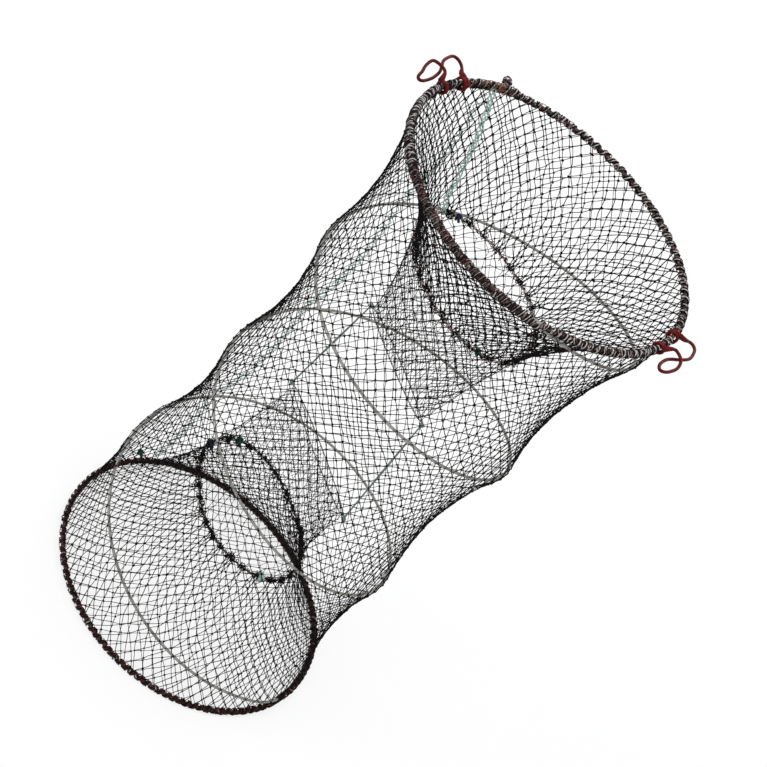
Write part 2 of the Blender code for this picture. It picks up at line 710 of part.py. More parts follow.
def clip_route(loops):
    """One wire: wraps of the first foot, the two crossing loops, wraps of the second foot.

    Local axes: X outwards, Y along the ring, Z up, with the hinge axis along Y at the origin.
    """
    vertex_radius = CLIP_WRAP_RADIUS / math.cos(math.pi / CLIP_WRAP_POINTS)
    width = CLIP_WRAP_PITCH * CLIP_WRAP_TURNS
    steps = round(CLIP_WRAP_TURNS * CLIP_WRAP_POINTS)
    inner_edge = CLIP_FOOT_OFFSET - width / 2
    first, second = [], []
    for k in range(steps + 1):
        share = k / steps
        angle = CLIP_LEAVE_ANGLE + CLIP_WRAP_TURNS * math.tau * (1 - share)
        first.append((vertex_radius * math.cos(angle), inner_edge + width * share,
                      vertex_radius * math.sin(angle)))
        angle = CLIP_LEAVE_ANGLE + CLIP_WRAP_TURNS * math.tau * share
        second.append((vertex_radius * math.cos(angle), -inner_edge - width * share,
                       vertex_radius * math.sin(angle)))
    middle = [(out, along, up) for along, out, up in loops]
    middle = smooth_route([first[-1], *middle, second[0]], CLIP_STEP)
    return np.array([*first[:-1], *middle, *second[1:]])


def make_clip(side, azimuth, loops, mirrored, top_end):
    distance = math.sqrt(RING_MEAN_RADIUS ** 2 - CLIP_FOOT_OFFSET ** 2)
    pivot = add_empty(f"{side}_clip_hinge", (distance * math.cos(azimuth), distance * math.sin(azimuth), 0),
                      azimuth, top_end)
    route = clip_route(loops)
    if mirrored:
        route = route * (1, -1, 1)
    print(f"{side} clip: least gap to itself {least_self_gap(route, CLIP_WIRE, 5) * 1000:.2f} mm")
    return add_tube(f"{side}_clip", route, CLIP_WIRE, 1, "clip coating", parent=pivot)


# The trap

def make_rings(top_end):
    make_whipping("bottom_ring_whipping", False, BOTTOM_Z)
    make_whipping("top_ring_whipping", True, 0, top_end)
    end_gap = WIRE_END_GAP / RING_RADIUS
    add_tube("bottom_ring_wire", ring_wire_route(SPRING_END + end_gap, 1, 1), WIRE_DIAMETER, 1,
             "ring steel", height=BOTTOM_Z)
    add_tube("top_ring_wire", ring_wire_route(SPRING_START - end_gap, -1, -1), WIRE_DIAMETER, 1,
             "ring steel", parent=top_end)
    make_lashing(top_end)
    centre = on_ring(WHIPPING_KNOT_AZIMUTH, WHIPPING_KNOT_ANGLE,
                     WHIPPING_RADIUS + SEAT_GAP + WHIPPING_KNOT_RADIUS)
    make_knot("top_whipping_knot", centre, WHIPPING_KNOT_RADIUS, "whipping twine", top_end)
    centre = on_ring(SEAM_KNOT_AZIMUTH, SEAM_KNOT_ANGLE, WHIPPING_RADIUS + SEAT_GAP + SEAM_KNOT_RADIUS,
                     BOTTOM_Z)
    make_knot("bottom_seam_knot", centre, SEAM_KNOT_RADIUS, "dark green cord")


def make_throats():
    top_rim = add_empty("top_throat", (0, 0, TOP_Z - TOP_RIM_DEPTH))
    bottom_rim = add_empty("bottom_throat", (0, 0, BOTTOM_Z + BOTTOM_RIM_DEPTH))
    add_tube("top_throat_rim", rim_route(TOP_RIM), RIM_CORD_DIAMETER, 2, "throat cord", True, parent=top_rim)
    add_tube("bottom_throat_rim", rim_route(BOTTOM_RIM), RIM_CORD_DIAMETER, 2, "throat cord", True,
             parent=bottom_rim)
    points, faces = funnel_net(TOP_RIM, TOP_RIM_DEPTH, -1)
    make_net("top_funnel_net", points, faces, TOP_Z)
    add_tube("top_funnel_seam_lacing", funnel_lacing_route(points), LACING_DIAMETER, 2,
             "pale green thread", height=TOP_Z)
    points, faces = funnel_net(BOTTOM_RIM, BOTTOM_RIM_DEPTH, 1)
    make_net("bottom_funnel_net", points, faces, BOTTOM_Z)
    points, faces = sock_net(TOP_RIM, TOP_SLIT, TOP_RIM_DEPTH, RING_SPACING - TOP_SLIT_HEIGHT, -1)
    make_net("top_throat_sock", points, faces, TOP_Z)
    points, faces = sock_net(BOTTOM_RIM, BOTTOM_SLIT, BOTTOM_RIM_DEPTH, BOTTOM_SLIT_HEIGHT, 1)
    make_net("bottom_throat_sock", points, faces, BOTTOM_Z)
    make_rim_knot("top_rim_blue_knot", TOP_RIM, math.radians(142), "blue cord", top_rim)
    make_rim_knot("top_rim_green_knot", TOP_RIM, math.radians(-46), "dark green cord", top_rim)
    make_rim_knot("bottom_rim_blue_knot", BOTTOM_RIM, math.radians(166), "blue cord", bottom_rim)
    make_rim_knot("bottom_rim_green_knot", BOTTOM_RIM, math.radians(142), "dark green cord", bottom_rim)
    make_rim_knot("bottom_rim_teal_knot", BOTTOM_RIM, math.radians(-34), "pale green thread", bottom_rim)


def main():
    top_end = add_empty("top_end", (0, 0, TOP_Z))
    make_rings(top_end)
    route = spring_route()
    print(f"spring coil: least gap to itself {least_self_gap(route, WIRE_DIAMETER, 12) * 1000:.2f} mm")
    add_tube("spring_coil", route, WIRE_DIAMETER, 1, "steel wire", height=BOTTOM_Z)
    points, faces = body_net_points(route)
    make_net("body_net", points, faces, BOTTOM_Z)
    add_tube("body_seam_lacing", body_lacing_route(points, route), LACING_DIAMETER, 2, "pale green thread",
             height=BOTTOM_Z)
    make_throats()
    make_guy("left", 0)
    make_guy("right", 1)
    make_clip("right", CLIP_AZIMUTH, RIGHT_CLIP_LOOPS, False, top_end)
    make_clip("left", math.pi - CLIP_AZIMUTH, LEFT_CLIP_LOOPS, True, top_end)


clear_scene()
PARTS = new_collection("crayfish_trap")
main()
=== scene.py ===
"""Looks of the collapsible crayfish trap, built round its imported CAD.

The netting, spring, windings, lacings, knots and clips are made here on the CAD source's own values.
Lengths are in metres and Z is up. An azimuth turns about Z, from +X towards +Y. A place in a ring's
cross-section is an angle from the outward direction, towards +Z, and a distance.
"""

import math

import bpy
import numpy as np
from mathutils import Matrix, Vector


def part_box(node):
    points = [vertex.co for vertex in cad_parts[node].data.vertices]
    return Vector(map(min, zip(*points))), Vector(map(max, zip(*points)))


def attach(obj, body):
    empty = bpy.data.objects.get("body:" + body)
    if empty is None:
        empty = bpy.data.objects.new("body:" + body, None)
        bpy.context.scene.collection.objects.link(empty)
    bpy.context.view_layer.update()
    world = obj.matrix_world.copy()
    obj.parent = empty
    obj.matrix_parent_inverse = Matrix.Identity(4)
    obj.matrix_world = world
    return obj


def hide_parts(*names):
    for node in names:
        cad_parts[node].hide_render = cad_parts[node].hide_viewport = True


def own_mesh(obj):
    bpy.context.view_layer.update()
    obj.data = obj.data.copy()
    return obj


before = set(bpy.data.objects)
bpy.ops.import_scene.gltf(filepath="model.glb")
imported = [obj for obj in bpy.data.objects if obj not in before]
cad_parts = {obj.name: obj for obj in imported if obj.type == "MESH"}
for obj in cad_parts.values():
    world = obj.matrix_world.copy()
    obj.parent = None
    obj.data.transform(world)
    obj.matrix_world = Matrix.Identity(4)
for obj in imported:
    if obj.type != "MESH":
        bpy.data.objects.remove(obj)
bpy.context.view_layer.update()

TAU = math.tau
MM = 0.001

# The rings and spring, as in the CAD source
RING_RADIUS = 0.1448
RING_SPACING = 0.591
BOTTOM_Z = 0.0046045
TOP_Z = BOTTOM_Z + RING_SPACING
WIRE_RADIUS = 0.0015
STRAND_OFFSET = 0.00165
DOUBLED = 0.44 * TAU
STRAND_CHANGE_MARGIN = 0.3
SPRING_TURNS = 3.15
SPRING_START = math.radians(-56.25)
SPRING_END = SPRING_START + SPRING_TURNS * TAU
SPRING_HEIGHTS = (0.591, 0.472, 0.381, 0.294, 0.198, 0.109, 0.0)
SPRING_RADII = (0.145, 0.1315, 0.132, 0.1325, 0.1315, 0.1285, 0.145)
SPRING_LEANS = ((0, 0), (7.9, -56), (5.8, -42), (2.0, -105), (3.5, 169), (0, 0))
SPRING_SHIFTS = ((0, 0), (0.0018, -32), (0.0019, 75), (0.0049, -23), (0.0106, 173), (0, 0))
SPRING_EXIT_SLOPE = 0.26
SPRING_EXIT_EASE = 0.010
SPRING_EXIT_RUN = 0.024
SPRING_JOIN_RUN = 0.072
SLOT_ANGLE = math.radians(105)

# The nets, throats and slits, as in the CAD source
NET_PHASE = math.radians(4.75)
BODY_SEAT = math.radians(58)
FUNNEL_SEAT = math.radians(168)
WAIST_PER_METRE = 0.40
FUNNEL_SAG = 0.006
TOP_RIM_DEPTH = 0.107
BOTTOM_RIM_DEPTH = 0.1136
TOP_RIM = (0.062, (153, 0.089), (-34, 0.0775))
BOTTOM_RIM = (0.056, (148, 0.098), (-22, 0.067))
RIM_PULL_SHARPNESS = 14
TOP_SLIT_HEIGHT = 0.3616
BOTTOM_SLIT_HEIGHT = 0.2224
TOP_SLIT = ((152.7, 0.0725), (-20.4, 0.0534))
BOTTOM_SLIT = ((148.3, 0.0851), (-16.8, 0.0638))
SLIT_HALF_WIDTH = 0.006
SEAM_AZIMUTH = math.radians(154.75)
GUY_DIAMETER = 0.0018
KNOT_RADIUS = 0.003

# The clips, as in the CAD source
CLIP_WIRE = 0.003
CLIP_WRAP_WIDTH = 0.0058
CLIP_WRAP_TURNS = 1.9
CLIP_LEAVE_ANGLE = math.radians(50)
CLIP_FOOT_OFFSET = 0.014
CLIP_HINGE = (0.143671, 0.011938)
CLIP_AZIMUTH = math.radians(4.75)
RIGHT_CLIP_LOOPS = (
    (0.0210, 0.0085, 0.0026), (0.0268, 0.0112, 0.0006), (0.0296, 0.0148, 0), (0.0283, 0.0186, 0),
    (0.0232, 0.0216, 0), (0.0101, 0.0233, 0), (-0.0018, 0.0190, 0), (-0.0113, 0.0141, 0),
    (-0.0182, 0.0115, 0), (-0.0266, 0.0106, 0), (-0.0329, 0.0113, 0), (-0.0368, 0.0140, 0),
    (-0.0350, 0.0172, 0), (-0.0285, 0.0204, 0), (-0.0179, 0.0228, 0.0018), (-0.0085, 0.0199, 0.0038),
    (-0.0043, 0.0134, 0.0042), (-0.0068, 0.0088, 0.0050),
)
LEFT_CLIP_LOOPS = (
    (0.0195, 0.0082, 0.0032), (0.0249, 0.0122, 0.0026), (0.0271, 0.0170, 0.0036),
    (0.0259, 0.0223, 0.0047), (0.0202, 0.0252, 0.0054), (0.0071, 0.0232, 0.0049),
    (0.0003, 0.0188, 0.0040), (-0.0071, 0.0136, 0.0029), (-0.0177, 0.0104, 0.0014),
    (-0.0262, 0.0096, 0.0006), (-0.0338, 0.0098, 0.0004), (-0.0378, 0.0118, 0.0010),
    (-0.0364, 0.0144, 0.0022), (-0.0298, 0.0170, 0.0036), (-0.0214, 0.0214, 0.0052),
    (-0.0113, 0.0232, 0.0072), (-0.0070, 0.0165, 0.0077), (-0.0071, 0.0097, 0.0069),
)

# Finer detail that the CAD leaves to this file
MESHES = 66
BODY_ROWS = 84
FUNNEL_MESHES = 76
FUNNEL_ROWS = 18
FUNNEL_BAR = 0.0088
SOCK_MESHES = 40
SOCK_ROWS = 17
SOCK_BAR = 0.0082
THREAD_RADIUS = 0.00038
SOCK_THREAD_RADIUS = 0.00026
DRAWN_WIRE_RADIUS = 0.00135
TUFTS = (2, 3, 3, 2, 3, 2, 3, 3, 2, 2, 3, 3, 2, 3, 2, 3, 3, 2, 3, 2, 3, 2, 3, 2, 2, 3)
GATHER = 0.55
# Windings round the rings by azimuth in degrees: turn length in mm, size of the twine as a share of its
# usual size, and lift of a turn's middle strands in mm
TOP_WINDING = ((0, 7.4, 1.00, 0.50), (18, 8.8, 1.00, 0.65), (40, 9.6, 0.98, 0.70), (120, 9.8, 0.95, 0.65),
               (150, 9.0, 0.92, 0.40), (172, 7.4, 0.90, 0.40), (192, 7.0, 0.98, 0.60), (230, 6.8, 0.95, 0.50),
               (242, 4.8, 0.42, 0.10), (286, 4.8, 0.42, 0.10), (300, 6.2, 0.82, 0.40), (318, 6.8, 1.00, 0.60),
               (345, 6.9, 1.00, 0.55))
BOTTOM_WINDING = ((0, 8.0, 0.90, 0.50), (45, 8.6, 0.85, 0.50), (64, 7.0, 0.42, 0.20), (148, 7.0, 0.42, 0.20),
                  (165, 8.8, 0.80, 0.45), (230, 8.4, 0.88, 0.50), (290, 7.8, 0.95, 0.60), (330, 7.6, 0.95, 0.60))
# Pale strands over the top ring, painted highlights on the side that faces the camera: first and last azimuth, spacing,
# how far their ends lie ahead, finish
HIGHLIGHT_STROKES = ((186, 233, 1.75, 0.0, "grey_highlight"), (238, 292, 5.0, 0.006, "rose"), (296, 342, 1.9, 0.011, "pink"),
           (342, 366, 1.9, 0.006, "grey_highlight"), (366, 500, 4.6, 0.0, "pink"))
TWINE_RADIUS = 0.00065
INNER_LAYER = 0.0002
CLIP_CONE = 0.011
FLOOR_GLOW = 0.768


# Camera

def add_camera():
    """The photograph's view, with its turn about the line of sight."""
    focal, size = 2311.0, 767.0
    yaw, roll = -0.0008, 0.7749
    place = Vector((0.32838, -1.65087, 1.59491))
    ahead = (Vector((0, 0, 0.3469)) - place).normalized()
    right = ahead.cross(Vector((0, 0, 1))).normalized()
    up = right.cross(ahead)
    turned = ahead * math.cos(yaw) + right * math.sin(yaw)
    level = right * math.cos(yaw) - ahead * math.sin(yaw)
    right = level * math.cos(roll) + up * math.sin(roll)
    up = up * math.cos(roll) - level * math.sin(roll)
    data = bpy.data.cameras.new("camera")
    data.sensor_width = 36
    data.lens = focal * data.sensor_width / size
    data.clip_end = 50
    camera = bpy.data.objects.new("camera", data)
    bpy.context.scene.collection.objects.link(camera)
    axes = Matrix((right, up, -turned)).transposed().to_4x4()
    camera.matrix_world = Matrix.Translation(place) @ axes
    bpy.context.scene.camera = camera


# Numbers and routes

def unit(vectors):
    return vectors / np.maximum(np.linalg.norm(vectors, axis=-1, keepdims=True), 1e-12)


def smoothstep(value):
    value = np.clip(value, 0.0, 1.0)
    return value * value * (3 - 2 * value)


def polar(radius, azimuth, height):
    return np.stack(np.broadcast_arrays(radius * np.cos(azimuth), radius * np.sin(azimuth), height), -1)


def ripple(rng, at, waves):
    """Smooth seeded variation within about -1 to 1. at is a share of the whole, 0 to 1, and repeats."""
    total = 0.0
    for wave in waves:
        total = total + np.sin(TAU * wave * at + rng.uniform(0, TAU)) * rng.uniform(0.6, 1.0)
    return total / math.sqrt(len(waves))


def natural_curve(values, turns, at):
    """Smooth curve through evenly spaced values, read at the given number of turns."""
    values = np.asarray(values, float)
    last = len(values) - 1
    system = np.zeros((last + 1, last + 1))
    right = np.zeros(last + 1)
    system[0, :3] = (1, -2, 1)
    system[last, last - 2:] = (1, -2, 1)
    for i in range(1, last):
        system[i, i - 1:i + 2] = (1, 4, 1)
        right[i] = 6 * (values[i - 1] - 2 * values[i] + values[i + 1])
    bends = np.linalg.solve(system, right)
    place = np.clip(np.asarray(at, float) / turns, 0, 1) * last
    left = np.minimum(place.astype(int), last - 1)
    f = place - left
    g = 1 - f
    return (g * values[left] + f * values[left + 1]
            + ((g ** 3 - g) * bends[left] + (f ** 3 - f) * bends[left + 1]) / 6)


def smooth_route(points, step):
    """Points about a step apart on a smooth curve through the given ones."""
    points = np.asarray(points, float)
    padded = np.vstack([2 * points[0] - points[1], points, 2 * points[-1] - points[-2]])
    route = []
    for i in range(1, len(padded) - 2):
        before, start, end, after = padded[i - 1:i + 3]
        count = max(2, round(float(np.linalg.norm(end - start)) / step))
        t = (np.arange(count) / count)[:, None]
        route.append(0.5 * (2 * start + (end - before) * t
                            + (2 * before - 5 * start + 4 * end - after) * t ** 2
                            + (3 * start - before - 3 * end + after) * t ** 3))
    route.append(points[-1:])
    return np.vstack(route)


def distance_to_route(points, route):
    starts, spans = route[:-1], np.diff(route, axis=0)
    lengths = (spans ** 2).sum(axis=1)
    best = np.full(len(points), np.inf)
    for first in range(0, len(points), 4000):
        chunk = points[first:first + 4000]
        offsets = chunk[:, None] - starts[None]
        share = np.clip((offsets * spans).sum(axis=2) / lengths, 0, 1)
        gaps = np.linalg.norm(offsets - share[..., None] * spans, axis=2)
        best[first:first + 4000] = gaps.min(axis=1)
    return best


# Meshes

def sweep(paths, radii, sides, closed=False, lobes=0, depth=0.0, lay=1.0, caps=True):
    """Tubes along routes that have the same count of points. The UV is length in cm, and the way round."""
    paths = np.asarray(paths, float)
    if paths.ndim == 2:
        paths = paths[None]
    tubes, count, _ = paths.shape
    if closed:
        ahead = np.roll(paths, -1, 1) - np.roll(paths, 1, 1)
        steps = np.linalg.norm(np.roll(paths, -1, 1) - paths, axis=2)
    else:
        ahead = np.gradient(paths, axis=1)
        steps = np.linalg.norm(np.diff(paths, axis=1), axis=2)
    ahead = unit(ahead)
    lengths = np.concatenate([np.zeros((tubes, 1)), np.cumsum(steps, axis=1)], axis=1)
    steep = np.abs(ahead[:, 0, 2:3]) > 0.9
    side = unit(np.cross(ahead[:, 0], np.where(steep, (1.0, 0.0, 0.0), (0.0, 0.0, 1.0))))
    sides_at = np.zeros_like(paths)
    for k in range(count):
        side = unit(side - (side * ahead[:, k]).sum(1, keepdims=True) * ahead[:, k])
        sides_at[:, k] = side
    other = np.cross(ahead, sides_at)
    turn = np.zeros((tubes, count))
    if closed:
        back = unit(side - (side * ahead[:, 0]).sum(1, keepdims=True) * ahead[:, 0])
        miss = np.arctan2((back * other[:, 0]).sum(1), (back * sides_at[:, 0]).sum(1))
        turn = -miss[:, None] * np.arange(count) / count
    around = np.arange(sides) / sides * TAU
    angles = around + turn[..., None]
    radii = np.broadcast_to(np.asarray(radii, float), (tubes, count))[..., None]
    if lobes:
        whole = lengths[:, -1:]
        turns = np.round(whole / lay) if closed else whole / lay
        twist = TAU * turns * lengths[:, :count] / whole
        radii = radii * (1 + depth * np.cos(lobes * around - twist[..., None]))
    points = (paths[:, :, None] + radii[..., None] * (np.cos(angles)[..., None] * sides_at[:, :, None]
                                                      + np.sin(angles)[..., None] * other[:, :, None]))
    last = count if closed else count - 1
    tube, along, j = np.meshgrid(np.arange(tubes), np.arange(last), np.arange(sides), indexing="ij")
    tube, along, j = tube.ravel(), along.ravel(), j.ravel()
    ring = (tube * count + along) * sides
    ring_next = (tube * count + (along + 1) % count) * sides
    j_next = (j + 1) % sides
    quads = np.stack([ring + j, ring + j_next, ring_next + j_next, ring_next + j], 1)
    u0, u1 = lengths[tube, along] * 100, lengths[tube, along + 1] * 100
    v0, v1 = j / sides, (j + 1) / sides
    uvs = np.stack([np.stack([u0, v0], 1), np.stack([u0, v1], 1), np.stack([u1, v1], 1),
                    np.stack([u1, v0], 1)], 1)
    ends = np.zeros((0, sides), int)
    if caps and not closed:
        first = np.arange(tubes)[:, None] * count * sides
        ends = np.vstack([first + np.arange(sides)[::-1], first + (count - 1) * sides + np.arange(sides)])
    return {"points": points.reshape(-1, 3), "faces": [(quads, uvs), (ends, None)]}


def blobs(centres, axes, radii, rng):
    """Small lumps at many places. axes has three directions for each, and radii a size along each."""
    corners = np.array([(1, 0, 0), (-1, 0, 0), (0, 1, 0), (0, -1, 0), (0, 0, 1), (0, 0, -1)], float)
    faces = [(0, 2, 4), (2, 1, 4), (1, 3, 4), (3, 0, 4), (2, 0, 5), (1, 2, 5), (3, 1, 5), (0, 3, 5)]
    points, middles, split = list(corners), {}, []
    for face in faces:
        mids = []
        for a, b in zip(face, face[1:] + face[:1]):
            key = (min(a, b), max(a, b))
            if key not in middles:
                middles[key] = len(points)
                points.append(unit((corners[a] + corners[b]) / 2))
            mids.append(middles[key])
        split += [(face[0], mids[0], mids[2]), (face[1], mids[1], mids[0]),
                  (face[2], mids[2], mids[1]), tuple(mids)]
    shape = np.array(points)
    lumps = shape[None] * (1 + rng.uniform(-0.16, 0.16, (len(centres), len(shape), 1)))
    local = lumps * radii[:, None]
    placed = centres[:, None] + np.einsum("nkc,ncd->nkd", local, axes)
    split = np.array(split)
    triangles = (np.arange(len(centres))[:, None, None] * len(shape) + split[None]).reshape(-1, 3)
    uvs = np.tile((shape[split][..., :2] * 0.5 + 0.5), (len(centres), 1, 1))
    return {"points": placed.reshape(-1, 3), "faces": [(triangles, uvs)]}


def add_piece(name, batches, finish, body, replaces=(), squashed=False):
    """One mesh from several batches, riding on a CAD body."""
    if isinstance(batches, dict):
        batches = [batches]
    points, loops, starts, uvs = [], [], [], []
    base = total = 0
    for batch in batches:
        points.append(batch["points"])
        for faces, face_uvs in batch["faces"]:
            if not len(faces):
                continue
            width = faces.shape[1]
            loops.append((faces + base).ravel())
            starts.append(total + np.arange(len(faces)) * width)
            total += faces.size
            uvs.append(np.zeros((faces.size, 2)) if face_uvs is None else face_uvs.reshape(-1, 2))
        base += len(batch["points"])
    points, loops = np.vstack(points), np.concatenate(loops)
    starts, uvs = np.concatenate(starts), np.vstack(uvs)
    mesh = bpy.data.meshes.new(name)
    mesh.vertices.add(len(points))
    mesh.vertices.foreach_set("co", points.astype(np.float32).ravel())
    mesh.loops.add(len(loops))
    mesh.loops.foreach_set("vertex_index", loops.astype(np.int32))
    mesh.polygons.add(len(starts))
    mesh.polygons.foreach_set("loop_start", starts.astype(np.int32))
    layer = mesh.uv_layers.new(name="UVMap")
    mesh.update(calc_edges=True)
    layer.data.foreach_set("uv", uvs.astype(np.float32).ravel())
    mesh.shade_smooth()
    mesh.materials.append(finish)
    piece = bpy.data.objects.new(name, mesh)
    bpy.context.scene.collection.objects.link(piece)
    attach(piece, body)
    if replaces:
        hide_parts(*replaces)
    if squashed:
        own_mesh(piece)
    return piece


# Finishes

class Finish:
    """A material with short calls for its nodes."""

    def __init__(self, name):
        self.material = bpy.data.materials.new(name)
        self.material.use_nodes = True
        self.tree = self.material.node_tree
        self.shader = self.tree.nodes["Principled BSDF"]

    def node(self, kind, settings=None, **inputs):
        made = self.tree.nodes.new(kind)
        for key, value in (settings or {}).items():
            setattr(made, key, value)
        for key, value in inputs.items():
            self.put(made.inputs[int(key[1:]) if key[1:].isdigit() else key.replace("_", " ")], value)
        return made

    def put(self, socket, value):
        if isinstance(value, bpy.types.NodeSocket):
            self.tree.links.new(value, socket)
        elif isinstance(value, tuple) and len(value) == 3 and socket.type == "RGBA":
            socket.default_value = (*value, 1)
        else:
            socket.default_value = value

    def math(self, operation, a, b=0.0):
        return self.node("ShaderNodeMath", {"operation": operation}, _0=a, _1=b).outputs[0]

    def mix(self, share, a, b):
        made = self.node("ShaderNodeMix", {"data_type": "RGBA"}, _0=share, _6=a, _7=b)
        return made.outputs[2]

    def noise(self, vector, scale, detail=3.0, roughness=0.5):
        return self.node("ShaderNodeTexNoise", None, Vector=vector, Scale=scale, Detail=detail,
                         Roughness=roughness).outputs["Fac"]

    def ramp(self, value, low, high):
        return self.node("ShaderNodeMapRange", {"interpolation_type": "SMOOTHSTEP"}, _0=value, _1=low,
                         _2=high).outputs[0]

    def bump(self, height, strength, distance):
        return self.node("ShaderNodeBump", None, Height=height, Strength=strength,
                         Distance=distance).outputs[0]

    def sockets(self, **values):
        for key, value in values.items():
            self.put(self.shader.inputs[key.replace("_", " ")], value)


def twine_finish(name, plies, colours, lay, roughness=0.62, sheen=0.08, flecks=(), shine=0.3):
    """Twisted twine. Plies follow the UV's way round and lay, in cm, and each takes one colour, with painted shade in
    the grooves between them.
    """
    made = Finish(name)
    uv = made.node("ShaderNodeUVMap").outputs[0]
    split = made.node("ShaderNodeSeparateXYZ", None, Vector=uv).outputs
    lead = made.math("MULTIPLY_ADD", split[0], 1 / lay)
    made.tree.nodes[-1].inputs[2].default_value = 0.0
    helix = made.math("FRACT", made.math("SUBTRACT", split[1], lead))
    ply = made.math("MULTIPLY", helix, float(plies))
    groove = made.math("ABSOLUTE", made.math("SUBTRACT", made.math("FRACT", ply), 0.5))
    crown = made.math("SUBTRACT", 1.0, made.math("POWER", made.math("MULTIPLY", groove, 2.0), 2.0))
    place = made.node("ShaderNodeTexCoord").outputs["Object"]
    fibre = made.noise(made.node("ShaderNodeMapping", None, Vector=uv, Scale=(30.0, 8.0, 1.0)).outputs[0],
                       1.0, 4.0)
    colour = colours[0]
    for index in range(1, len(colours)):
        edge = plies * index / len(colours)
        colour = made.mix(made.ramp(ply, edge - 0.12, edge + 0.12), colour, colours[index])
    # Painted shade: each ply darkens from its crown towards the grooves between plies, down to this darker copy of the
    # first colour
    dark = tuple(0.42 * c for c in colours[0])
    shade = made.math("MULTIPLY_ADD", crown, 0.75)
    made.tree.nodes[-1].inputs[2].default_value = 0.25
    colour = made.mix(shade, dark, colour)
    colour = made.mix(made.math("MULTIPLY", made.ramp(fibre, 0.35, 0.75), 0.35), colour,
                      tuple(min(1.0, 1.9 * c + 0.012) for c in colours[0]))
    for amount, tone, coarse in flecks:
        patch = made.noise(place, coarse, 3.0)
        colour = made.mix(made.math("MULTIPLY", made.ramp(patch, 0.53, 0.64), amount), colour, tone)
    height = made.math("ADD", crown, made.math("MULTIPLY", fibre, 0.5))
    made.sockets(Base_Color=colour, Normal=made.bump(height, 0.7, 0.00025),
                 Roughness=made.node("ShaderNodeMapRange", None, _0=fibre, _3=roughness - 0.12,
                                     _4=roughness + 0.12).outputs[0],
                 Sheen_Weight=sheen, Specular_IOR_Level=shine)
    return made.material


def steel_finish(name, colour, roughness):
    """Drawn wire: fine draw lines along its length, dull patches of oxide."""
    made = Finish(name)
    uv = made.node("ShaderNodeUVMap").outputs[0]
    place = made.node("ShaderNodeTexCoord").outputs["Object"]
    lines = made.noise(made.node("ShaderNodeMapping", None, Vector=uv, Scale=(0.35, 60.0, 1.0)).outputs[0],
                       1.0, 5.0, 0.6)
    oxide = made.noise(place, 55.0, 6.0, 0.62)
    specks = made.noise(place, 900.0, 2.0)
    tone = made.mix(made.ramp(lines, 0.3, 0.7), tuple(0.72 * c for c in colour),
                    tuple(1.2 * c for c in colour))
    tone = made.mix(made.math("MULTIPLY", made.ramp(oxide, 0.5, 0.68), 0.65), tone, (0.13, 0.11, 0.095))
    tone = made.mix(made.math("MULTIPLY", made.ramp(specks, 0.62, 0.72), 0.4), tone, (0.03, 0.024, 0.02))
    made.sockets(Base_Color=tone, Metallic=0.85, Normal=made.bump(lines, 0.35, 0.00004),
                 Roughness=made.node("ShaderNodeMapRange", None, _0=oxide, _1=0.3, _2=0.7,
                                     _3=roughness - 0.1, _4=roughness + 0.22).outputs[0])
    return made.material


def coating_finish(name, colour):
    """Dipped coating on wire: glossy, a little uneven, thin and dark where it has rubbed."""
    made = Finish(name)
    place = made.node("ShaderNodeTexCoord").outputs["Object"]
    uneven = made.noise(place, 260.0, 3.0)
    broad = made.noise(place, 60.0, 4.0)
    rubbed = made.noise(place, 520.0, 5.0, 0.65)
    tone = made.mix(made.ramp(broad, 0.3, 0.7), tuple(0.62 * c for c in colour), colour)
    tone = made.mix(made.math("MULTIPLY", made.ramp(rubbed, 0.62, 0.72), 0.7), tone, (0.05, 0.012, 0.01))
    made.sockets(Base_Color=tone, Normal=made.bump(uneven, 0.30, 0.00015),
                 Roughness=made.node("ShaderNodeMapRange", None, _0=rubbed, _1=0.4, _2=0.7, _3=0.24,
                                     _4=0.55).outputs[0],
                 Specular_IOR_Level=0.12)
    return made.material


